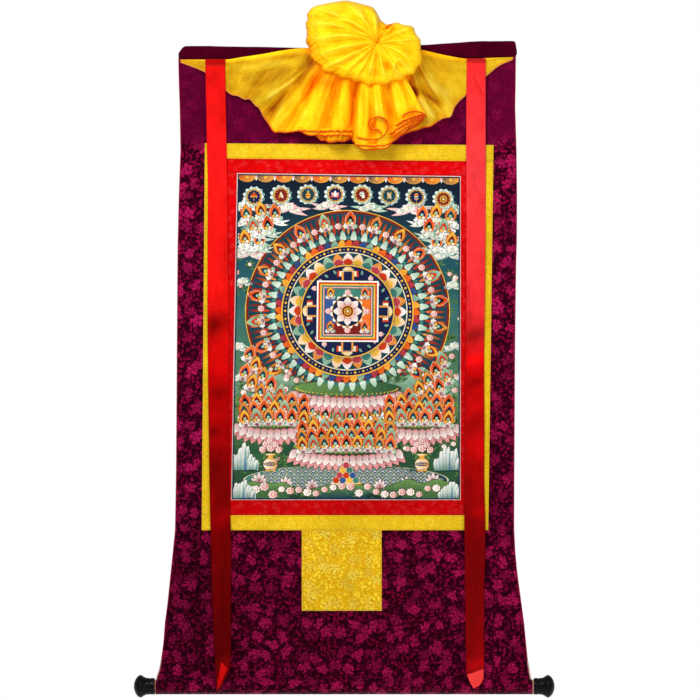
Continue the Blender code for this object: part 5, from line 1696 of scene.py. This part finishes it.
def draw_picture(art):
    draw_wash(art)
    draw_sky(art)
    draw_middle(art)
    draw_foot(art)
    for x in (FIELD_LEFT + 1.1, FIELD_RIGHT - 1.1):
        art.lay(turned(box(2.2, FIELD_HIGH - FIELD_LOW), x, (FIELD_HIGH + FIELD_LOW) / 2), 168, "navy")
    for z in (FIELD_LOW + 1.1, FIELD_HIGH - 1.1):
        art.lay(turned(box(FIELD_RIGHT - FIELD_LEFT, 2.2), 0, z), 168, "navy")


def make_picture(material):
    art = Painting()
    draw_picture(art)
    rows = np.array(art.rows)
    u = (rows[:, 0] - FIELD_LEFT) / (FIELD_RIGHT - FIELD_LEFT)
    v = (FIELD_HIGH - rows[:, 1]) / (FIELD_HIGH - FIELD_LOW)
    x, z = on_corners(frame_corners(PICTURE, FIELD_MARGIN), u, v)
    depth = ground_front(x, z) + SEWN_GAP + CANVAS_THICK + PAINT_LIFT + rows[:, 6] * PAINT_COAT
    piece = add_mesh("painted_picture", place(x, depth, z), art.faces, [material], flat=True)
    colours = piece.data.color_attributes.new("paint", "FLOAT_COLOR", "POINT")
    colours.data.foreach_set("color", rows[:, 2:6].astype(np.float32).ravel())
    return hand_over(piece, "painted_canvas")


def make_canvas(finish):
    """The painting's own cloth, flat where it is painted, and the picture on it."""
    canvas, flat = sewn_piece("canvas_cloth", frame_corners(PICTURE, 0.0), CANVAS_THICK, finish["primed"],
                              "canvas", "painted_canvas", None, 51, flat_from=FIELD_MARGIN)
    picture = make_picture(finish["painted"])


# ---- ribbons ------------------------------------------------------------------------------
def ribbon_base(x, z):
    """Front of what lies behind a ribbon."""
    return ground_front(x, np.maximum(z, STITCH_Z)) + SEWN_GAP + STRIP_THICK


def inside_facet(x, z, corners, soft):
    """1 inside a clockwise many-sided shape, 0 outside it, over a soft edge."""
    depth_in = np.full(np.broadcast(x, z).shape, 1e9)
    for (ax, az), (bx, bz) in zip(corners, corners[1:] + corners[:1]):
        side = ((z - az) * (bx - ax) - (x - ax) * (bz - az)) / math.hypot(bx - ax, bz - az)
        depth_in = np.minimum(depth_in, -side)
    return ease(depth_in / soft + 0.5)


def make_ribbon(side, rows, flap, finish, seed):
    """A satin ribbon sewn over the heading's seam, hanging free to its folded tip."""
    top_z, left, right, first_standoff = rows[0]
    seam_depth = float(ribbon_base(mix(left, right, 0.5), top_z)) + first_standoff
    turn_radius = 0.8
    flap_low = float(read_table(rows, top_z - flap, 3) + ribbon_base(left, top_z)) + 1.8
    path = [(top_z - flap, left, right, flap_low), (top_z - flap + 2.2, left, right, flap_low),
            (top_z - flap * 0.66, left, right, flap_low - 0.4),
            (top_z - flap * 0.33, left, right, mix(seam_depth + 1.6, flap_low, 0.4)),
            (top_z - turn_radius, left, right, seam_depth + 2 * turn_radius)]
    for degrees in (40, 90, 140):
        turn = math.radians(degrees)
        path.append((top_z - turn_radius * (1 - math.sin(turn)), left, right,
                     seam_depth + turn_radius * (1 + math.cos(turn))))
    hanging = smoothed(rows, 22)
    for z, row_left, row_right, standoff in hanging:
        if z < top_z - turn_radius:
            path.append((z, row_left, row_right,
                         float(ribbon_base(mix(row_left, row_right, 0.5), z)) + standoff))
    path = np.array(path)
    u = np.linspace(0, 1, 31)[None, :]
    z, low, high, depth = (path[:, i:i + 1] for i in range(4))
    x = mix(low, high, u)
    crown = RIBBON_CROWN * (1 - (2 * u - 1) ** 2)
    free = ease((top_z - 60 - z) / 120)
    sway = 0.5 * ripples(z + 30 * u, seed, 90, 300) * free
    curl = 0.8 * ripples(z, seed + 1, 120, 420) * free * (2 * u - 1)
    crease = crease_height(x, np.broadcast_to(z, x.shape), RIBBON_CREASES)
    grid = place(x, depth + crown + sway + curl + crease, np.broadcast_to(z, x.shape))
    # Painted light and shade: crests of the pressed creases lighter, troughs darker, with the bands of sheen
    # and shade.
    lit = 0.13 * crease + 0 * x
    for band_z, band_x, tall, wide, strength in RIBBON_BANDS:
        aside = x - band_x
        lit = lit + strength * np.exp(-((z - band_z - 0.25 * aside) / tall) ** 2 - (aside / wide) ** 2)
    # Painted shadow on the flap under the heading, with a painted highlight along its lip.
    row = np.arange(len(path))[:, None]
    lip = (row < 6) * ease((top_z - flap + 2.6 - z) / 1.4)
    lit = np.where(row < 6, -0.5 + 0.5 * lip, np.maximum(lit, -0.75))
    tip = inside_facet(x, z, TIP_FACETS[side], 2.0)
    lit = lit * (1 - tip)
    piece = add_cloth("satin_ribbon_" + side, grid, RIBBON_THICK, [finish],
                      measures={"tip": tip, "lit": lit, "lip": lip + 0 * x})
    hand_over(piece, "ribbon_satin", "ribbon_" + side)
    length = float(np.ptp(cloth_lengths(grid)[..., 1]))
    (rows[0][2] - rows[0][1]) * MM


# ---- silk cover ---------------------------------------------------------------------------
def surroundings(depth, reach):
    """The mean depth of each point's neighbours across the cloth."""
    columns = depth.shape[1]
    index = np.clip(np.arange(-reach, reach + 1)[:, None] + np.arange(columns)[None, :], 0, columns - 1)
    return depth[:, index].mean(1)


def fold_share(depth, reach, scale):
    """0 on a crest, 1 deep in a fold: how far a point lies behind its surroundings, which sets the painted
    shade in the folds.
    """
    return 0.35 + (surroundings(depth, reach) - depth) / scale


def broad_crests(depth, reach, swing):
    """Pleats with broad panels and narrow valleys, as pressed silk falls."""
    middle = surroundings(depth, reach)
    share = np.clip((depth - middle) / (2 * swing) + 0.5, 0, 1)
    return middle + (1 - (1 - share) ** 1.9 - 0.5) * 2 * swing


def amber_shade(x, z):
    """Extra amber where many layers lie behind one another: painted shade and glow."""
    total = np.zeros_like(x, dtype=float)
    for cx, cz, across, along, strength in AMBER_SHADE_SPOTS:
        total += strength * np.exp(-((x - cx) / across) ** 2 - ((z - cz) / along) ** 2)
    return total


def scattered_creases(seed, count, line_at, widths, heights):
    """Fine creases of uneven length between two places on the lines that line_at gives."""
    draw = random.Random(seed)
    creases = []
    for _ in range(count):
        line, start = draw.random(), draw.uniform(0.14, 0.62)
        end = min(start + draw.uniform(0.2, 0.5), 0.97)
        (ax, az), (cx, cz) = line_at(line, start), line_at(line + draw.uniform(-0.012, 0.012), end)
        bend = draw.uniform(-0.05, 0.05)
        creases.append((ax, az, (ax + cx) / 2 - (cz - az) * bend, (az + cz) / 2 + (cx - ax) * bend, cx, cz,
                        draw.uniform(*widths), draw.choice((-1, 1)) * draw.uniform(*heights)))
    return creases


def silk_fan():
    """Wings and skirt, one pleated layer from the seam and the rosette to its hem."""
    rings, steps = 46, 8
    table = smoothed(SILK_FOLDS, steps)
    t = np.linspace(0, 1, rings + 1)[:, None]
    hem_x, hem_z, hem_depth, root_x, root_z, root_depth, bulge = (table[:, i][None, :] for i in range(7))
    x, z = mix(root_x, hem_x, t), mix(root_z, hem_z, t)
    depth = mix(root_depth, hem_depth, t ** FADE_IN) + bulge * np.sin(np.pi * t)
    calm = ease((225 - np.abs(hem_x)) / 25)
    depth = mix(depth, broad_crests(depth, 2 * steps, 13), calm)
    column = np.arange(table.shape[0])[None, :] + 0 * t
    loose = np.clip((root_z - hem_z) / 110, 0.1, 1.0)
    depth += 0.9 * ripples(column, 71, 9, 26) * t ** 1.2 * loose
    ends = table.shape[0] - 1

    def on_fold(line, share):
        row = table[int(np.clip(line, 0, 1) * ends)]
        return mix(row[3], row[0], share), mix(row[4], row[1], share)

    fine = scattered_creases(74, 90, on_fold, (1.6, 3.4), (0.5, 1.7))
    depth += crease_height(x, z, FAN_CREASES + fine) * ease((t - 0.05) / 0.2) * mix(0.3, 1.0, calm)
    depth = np.maximum(depth, mix(root_depth, 15.5, ease(t * 3)) * (loose > 0.5))
    frilled = ease((hem_x + 66) / 10) * ease((12 - hem_x) / 8) * ease((-164 - z) / 6)
    z = z + 1.4 * ripples(column, 73, 8, 22) * t ** 2 * loose
    depth += 2.2 * frilled * ripples(column, 75, 4, 9)
    # Painted shade: deeper in the folds, a painted shadow along the root under the rosette, and more in the
    # frills and at the amber spots.
    fold = fold_share(depth, 12, 52) + 0.3 * np.exp(-t / 0.2) * (np.abs(x - HUB_X) < 190)
    fold = np.clip(fold + amber_shade(x, z) + 0.3 * frilled, 0, 0.95)
    # Painted deep shade in the gap between the skirt and the right wing.
    wedge = crease_height(x, z, DARK_WEDGE)
    fold = fold + 1.2 * wedge * (column > 44.5 * steps)
    pale = np.maximum(ease((-150 - hem_x) / 30), ease((hem_x - 170) / 30)) + 0 * t
    right_wing = ease((column - 44.5 * steps) / steps) * ease((hem_x - 112) / 30)
    wing = np.maximum(ease((-118 - hem_x) / 60), right_wing) * ease((t - 0.04) / 0.1)
    thin = np.maximum(wing * (1 - 0.55 * fold), 0.8 * frilled)
    # Painted light and shade along the wings' folds, with the left wing a little darker.
    fold = fold + wing * (np.where(hem_x < 0, 0.17, 0.0) + crease_height(x, z, WING_TONES))
    length = np.hypot(hem_x - root_x, hem_z - root_z)
    hem = ease((length * (t - 1) + 3.4) / 1.6)
    dull = wing * (0.95 - 0.1 * (hem_x > 0))
    measures = {"fold": fold, "sheer": 1 - 0.5 * thin, "hem": hem, "pale": pale, "dull": dull}
    return place(x, depth, z), measures


def rosette_parts():
    """The gathered puff: every pleat runs out of the tied hub, over its crest and round its rim."""
    steps, front_rings = 26, 74
    rows = [list(row) for row in ROSETTE_PLEATS]
    before = [rows[-1][0] - 360, rows[-1][1] - 360] + rows[-1][2:]
    after = [[row[0] + 360, row[1] + 360] + row[2:] for row in rows[:2]]
    spokes = smoothed([before] + rows + after, steps)[steps:steps + len(rows) * steps]
    phase = np.tile(np.arange(steps) / steps, len(rows))[None, :]
    hub, rim, radius, crest, dip, edge = (spokes[:, i][None, :] for i in range(6))
    count = spokes.shape[0]
    valley = np.sin(np.pi * phase)
    spoke = np.arange(count)[None, :] * 22.0 / steps
    left_ruffle = ease((rim - 150) / 12) * ease((226 - rim) / 14)
    radius = radius - SCALLOP * valley ** 1.6 + 2.2 * left_ruffle * ripples(spoke, 86, 5, 23)
    radius = radius + SPIKE * np.exp(-((rim - SPIKE_ANGLE) / 2.2) ** 2)
    share = np.linspace(0.004, 1, front_rings)[:, None]
    turn = np.radians(mix(hub, rim, np.sqrt(share)))
    x = HUB_X + radius * share * np.cos(turn)
    z = HUB_Z + radius * share * np.sin(turn)
    inward = np.clip(1 - share / CREST_AT, 0, 1)
    outward = np.clip((share - CREST_AT) / (1 - CREST_AT), 0, 1)
    climb = mix(HUB_DEPTH, crest, (1 - inward * inward) ** 0.6)
    over = mix(edge, crest, np.sqrt(1 - outward * outward))
    depth = np.where(share < CREST_AT, climb, over)
    opening = ease(share / DIP_FULL_AT) * ease((1 - share) / DIP_GONE_BY)
    depth = depth - 0.72 * dip * valley ** 1.2 * opening
    twist = spoke + 10 * share
    depth += 0.8 * ripples(twist, 81, 3.2, 9) * np.exp(-((share - 0.24) / 0.2) ** 2) * ease(share / 0.12)
    depth += 1.3 * ripples(twist, 82, 7, 24) * opening

    def on_spoke(line, out):
        pleat = spokes[int(np.clip(line, 0, 0.999) * count)]
        angle = math.radians(mix(pleat[0], pleat[1], math.sqrt(out)))
        return HUB_X + pleat[2] * out * math.cos(angle), HUB_Z + pleat[2] * out * math.sin(angle)

    fine = scattered_creases(87, 18, on_spoke, (2.4, 5.0), (0.4, 1.1))
    depth += crease_height(x, z, ROSETTE_CREASES + fine) * ease((1 - share) / 0.1) * ease(share / 0.12)
    knots = 1.5 * np.exp(-(((x - 82) / 12) ** 2 + ((z - 38) / 16) ** 2))
    knots = knots + 0.55 * left_ruffle * ease((share - 0.8) / 0.1)
    depth += 2.6 * knots * (ripples(x * 1.3 + z, 83, 6, 17) + ripples(z - x * 0.6, 88, 5, 14))
    depth -= 5.0 * left_ruffle * ease((share - 0.84) / 0.05) * ease((1 - share) / 0.05)
    back_share = np.array([0.99, 0.95, 0.88, 0.78, 0.6, 0.42, 0.24, 0.1])[:, None]
    back_turn = np.radians(mix(hub, rim, np.sqrt(back_share)))
    back_x = HUB_X + radius * back_share * np.cos(back_turn)
    back_z = HUB_Z + radius * back_share * np.sin(back_turn)
    swell = ease((back_z - BACK_SWELL_FROM) / (BACK_SWELL_TO - BACK_SWELL_FROM))
    back_depth = ROSETTE_BACK_DEPTH - BACK_SWELL * swell * (1 - back_share ** 2)
    toward = np.array([0.82, 0.5, 0.24, 0.08, 0, 0, 0, 0])[:, None]
    back_depth = mix(back_depth, edge, toward) + 0.8 * ripples(spoke, 84, 5, 15) * (back_share > 0.3)
    all_x, all_z = np.vstack([x, back_x]), np.vstack([z, back_z])
    all_depth = np.vstack([depth, back_depth])
    ring_count = all_x.shape[0]
    points = np.vstack([place(HUB_X, HUB_DEPTH - 2, HUB_Z)[None, :],
                        place(all_x, all_depth, all_z).reshape(-1, 3),
                        place(HUB_X, ROSETTE_BACK_DEPTH, HUB_Z)[None, :]])
    last = len(points) - 1
    faces = []
    for k in range(count):
        n = (k + 1) % count
        faces.append((0, 1 + k, 1 + n))
        for r in range(ring_count - 1):
            a, b = 1 + r * count, 1 + (r + 1) * count
            faces.append((a + k, b + k, b + n, a + n))
        a = 1 + (ring_count - 1) * count
        faces.append((last, a + n, a + k))
    lap = 24
    closed = np.concatenate([depth[:, -lap:], depth, depth[:, :lap]], axis=1)
    # Painted shade: deeper in the folds and amber spots, darker round the rim and most on the left ruffle,
    # dark at the tied hub, and shade over the back.
    fold = fold_share(closed, 13, 22)[:, lap:-lap] + amber_shade(x, z) - 0.08
    fold = fold + (0.1 + 0.2 * left_ruffle) * ease((share - 0.93) / 0.07) + 0.3 * np.exp(-share / 0.04)
    fold = np.clip(np.vstack([fold, np.full((8, count), 0.8)]), 0, 0.95)
    spots = np.stack(np.broadcast_arrays(spoke / (22 * len(rows)) * ROUND_LENGTH,
                                         np.linspace(0, 0.2, ring_count)[:, None]), -1)
    none = np.zeros(len(points))
    return {
        "points": points, "faces": faces, "spots": np.vstack([[0, 0], spots.reshape(-1, 2), [0, 0.2]]),
        "fold": np.concatenate([[0.9], fold.ravel(), [0.9]]), "sheer": none + 1, "hem": none, "pale": none,
        "dull": none, "edge": none + 20,
    }


def sheet_parts(grid, measures):
    """A closed silk sheet with its measures, ready to be joined to others."""
    cloth = cloth_lengths(grid)
    points, faces, _, spots, source = cloth_parts(grid, cloth, SILK_THICK)
    parts = {"points": points, "faces": faces, "spots": spots, "edge": edge_distance(cloth).ravel()[source]}
    for label, values in measures.items():
        parts[label] = np.broadcast_to(values, grid.shape[:2]).ravel()[source]
    return parts


def frill_grids(fan_grid):
    """Small turned-up hems on the skirt: strips from a front edge back to the skirt's face."""
    face = fan_grid[6:].reshape(-1, 3) / MM

    def skirt_depth(x, z):
        gap = (face[None, :, 0] - x[:, None]) ** 2 + (face[None, :, 2] - z[:, None]) ** 2
        near = np.where(gap < 16, -face[None, :, 1], 0).max(1)
        return np.where(near > 0, near, -face[gap.argmin(1), 1])

    for (shift_x, shift_z, frill), path in FRILLS:
        x, z, standoff = smoothed(path, 9).T
        along = np.concatenate([[0], np.cumsum(np.hypot(np.diff(x), np.diff(z)))])
        z = z + frill * ripples(along, 95, 6, 16)
        standoff = standoff + frill * ripples(along, 96, 6, 16)
        base = skirt_depth(x, z)
        for _ in range(3):
            base = np.convolve(np.pad(base, 2, mode="edge"), np.ones(5) / 5, mode="valid")
        t = np.linspace(0, 1, 6)[:, None]
        rows_x, rows_z = x + shift_x * t, z + shift_z * t
        rows_depth = base + standoff * (1 - t) ** 0.7 - 0.6 * t
        yield place(rows_x, rows_depth, rows_z)


def make_cover(finish):
    grid, measures = silk_fan()
    parts = [sheet_parts(grid, measures), rosette_parts()]
    hems = [(grid[-1], measures["pale"][-1])]
    for frill in frill_grids(grid):
        reach = np.linspace(1, 0, len(frill))[:, None]
        # Painted shade on each turned-up hem, deeper where it turns back to the skirt.
        parts.append(sheet_parts(frill, {"fold": 0.45 + 0.35 * (1 - reach), "sheer": 1.0, "pale": 0.0,
                                         "dull": 0.0, "hem": ease((reach - 0.6) / 0.3)}))
        hems.append((frill[0], np.zeros(frill.shape[1])))
    points, faces, first = [], [], 0
    for part in parts:
        faces += [tuple(int(i) + first for i in face) for face in part["faces"]]
        points.append(part["points"])
        first += len(part["points"])
    piece = add_mesh("silk_cover", np.vstack(points), faces, [finish["silk"]])
    add_cloth_place(piece, np.vstack([part["spots"] for part in parts]), ROUND_LENGTH)
    for label in ("edge", "fold", "sheer", "hem", "pale", "dull"):
        add_measure(piece, label, np.concatenate([part[label] for part in parts]))
    hand_over(piece, "cover_silk", "curtain")
    thread = add_overlock("cover_overlock", hems, 1.15, finish["overlock"])


def add_overlock(name, paths, radius, material):
    """Overlocked edges: a thread-wrapped cord along each hem."""
    sides = 6
    points, faces, pales, first = [], [], [], 0
    for path, pale in paths:
        tangent = unit(np.gradient(path, axis=0))
        side = unit(np.cross(tangent, np.array([0.0, -1.0, 0.02])))
        lift = np.cross(side, tangent)
        wave = (1 + 0.2 * ripples(np.arange(len(path)), 91, 2.2, 6))[:, None] * (1 - 0.4 * pale[:, None])
        rings = []
        for k in range(sides):
            turn = 2 * math.pi * k / sides
            rings.append(path + (side * math.cos(turn) + lift * math.sin(turn)) * radius * MM * wave)
        points.append(np.stack(rings, 1).reshape(-1, 3))
        pales.append(np.repeat(pale, sides))
        faces += tube_faces(len(path), sides, first)
        first += len(path) * sides
    piece = add_mesh(name, np.vstack(points), faces, [material])
    add_measure(piece, "pale", np.concatenate(pales))
    return hand_over(piece, "cover_silk")


# ---- knobs --------------------------------------------------------------------------------
def make_knob(name, node, start_x, direction, material):
    """A turned knob with its socket, round the dowel's line."""
    outside = smoothed(KNOB_PROFILE, 5)
    socket = [(KNOB_SOCKET_DEPTH, 0.05), (KNOB_SOCKET_DEPTH, KNOB_SOCKET_RADIUS),
              (KNOB_PROFILE[0][0], KNOB_SOCKET_RADIUS)]
    profile = np.vstack([socket, outside])
    profile[:, 1] = np.maximum(profile[:, 1], 0.05)
    segments = 72
    turn = np.linspace(0, 2 * math.pi, segments, endpoint=False)[None, :]
    offset, radius = profile[:, :1], profile[:, 1:]
    grid = place(start_x + direction * offset + 0 * turn, DOWEL_DEPTH + radius * np.cos(turn),
                 DOWEL_Z + radius * np.sin(turn))
    rings = len(profile)
    faces = []
    for r in range(rings - 1):
        for k in range(segments):
            n = (k + 1) % segments
            a, b = r * segments, (r + 1) * segments
            face = (a + k, b + k, b + n, a + n)
            faces.append(face if direction > 0 else face[::-1])
    first_cap = tuple(range(segments))
    last_cap = tuple(range((rings - 1) * segments, rings * segments))
    faces.append(first_cap if direction > 0 else first_cap[::-1])
    faces.append(last_cap[::-1] if direction > 0 else last_cap)
    piece = add_mesh(name, grid.reshape(-1, 3), faces, [material])
    piece.data.set_sharp_from_angle(angle=math.radians(50))
    hand_over(piece, "black_lacquer", node)


# ---- stage --------------------------------------------------------------------------------
def make_floor():
    half, near, far = FLOOR_HALF_WIDTH * MM, -FLOOR_REACH * MM, FLOOR_REACH * MM
    z = FLOOR_Z * MM
    floor = add_mesh("floor", [(-half, near, z), (half, near, z), (half, far, z), (-half, far, z)],
                     [(0, 1, 2, 3)], [floor_material()], flat=True)


def floor_material():
    """Pale floor, clear from below so that the scroll can be seen from there."""
    material, wire, shader = start_material("pale floor", roughness=0.8, specular=0.2)
    nodes = material.node_tree.nodes
    cloudy = wire.noise(wire.object_place(), 1.5, 3.0)
    wire.fill(shader, {
        "Base Color": wire.blend(cloudy, tone(246, 245, 243), tone(252, 251, 249)),
        "Emission Color": (1.0, 1.0, 1.0, 1.0), "Emission Strength": 0.2})
    both = wire.add("MixShader", {
        0: wire.add("NewGeometry")["Backfacing"], 1: nodes["Principled BSDF"].outputs[0],
        2: wire.add("BsdfTransparent")[0]})[0]
    wire.fill(nodes["Material Output"].inputs, {"Surface": both})
    return material


def make_world():
    """White to the camera, and a softer white as the light of the room."""
    world = bpy.data.worlds.new("studio")
    world.use_nodes = True
    wire = Wiring(world.node_tree)
    seen = wire.add("LightPath")["Is Camera Ray"]
    strength = wire.add("Mix", {0: seen, 2: 0.42, 3: 1.0}, data_type="FLOAT")[0]
    background = world.node_tree.nodes["Background"].inputs
    wire.fill(background, {"Color": (1.0, 1.0, 1.0, 1.0), "Strength": strength})
    bpy.context.scene.world = world


def add_lamp(name, spot, target, size, watts, colour=(1.0, 1.0, 1.0)):
    lamp = bpy.data.lights.new(name, "AREA")
    lamp.shape = "RECTANGLE"
    lamp.size, lamp.size_y = size
    lamp.energy = watts
    lamp.color = colour
    holder = bpy.data.objects.new(name, lamp)
    bpy.context.scene.collection.objects.link(holder)
    holder.location = place(*spot)
    aim = Vector(place(*target) - place(*spot))
    holder.rotation_euler = aim.to_track_quat("-Z", "Y").to_euler()


def make_lights():
    add_lamp("key", (-700, 1900, 900), (0, 0, -350), (1.2, 0.9), 42)
    add_lamp("fill", (1500, 2200, -300), (0, 0, -600), (1.6, 1.6), 14)


def make_camera():
    camera = bpy.data.cameras.new("front")
    camera.lens, camera.sensor_width = LENS, SENSOR
    holder = bpy.data.objects.new("front", camera)
    bpy.context.scene.collection.objects.link(holder)
    away = VIEW_WIDTH * LENS / SENSOR + VIEW_DEPTH
    holder.location = place(VIEW_X, away, VIEW_Z)
    holder.rotation_euler = (math.pi / 2, 0, 0)
    camera.clip_end = 100
    bpy.context.scene.camera = holder


def main():
    scene = bpy.context.scene
    scene.view_settings.view_transform = "Standard"
    make_camera()
    make_world()
    make_lights()
    make_floor()
    finish = make_finishes()
    make_heading(finish)
    make_ground(finish)
    make_border("yellow", YELLOW_OUTER, RED_OUTER, finish, 0.6)
    make_border("red", RED_OUTER, PICTURE, finish, 0.15)
    make_door_patch(finish)
    make_canvas(finish)
    make_ribbon("left", RIBBON_LEFT, 14.0, finish["ribbon_left"], 41)
    make_ribbon("right", RIBBON_RIGHT, 8.5, finish["ribbon_right"], 45)
    make_cover(finish)
    make_knob("knob_left_turned", "knob_left", POCKET_LEFT, -1, finish["lacquer"])
    make_knob("knob_right_turned", "knob_right", POCKET_RIGHT, 1, finish["lacquer"])
    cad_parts["dowel"].data.materials.clear()
    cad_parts["dowel"].data.materials.append(finish["wood"])


main()
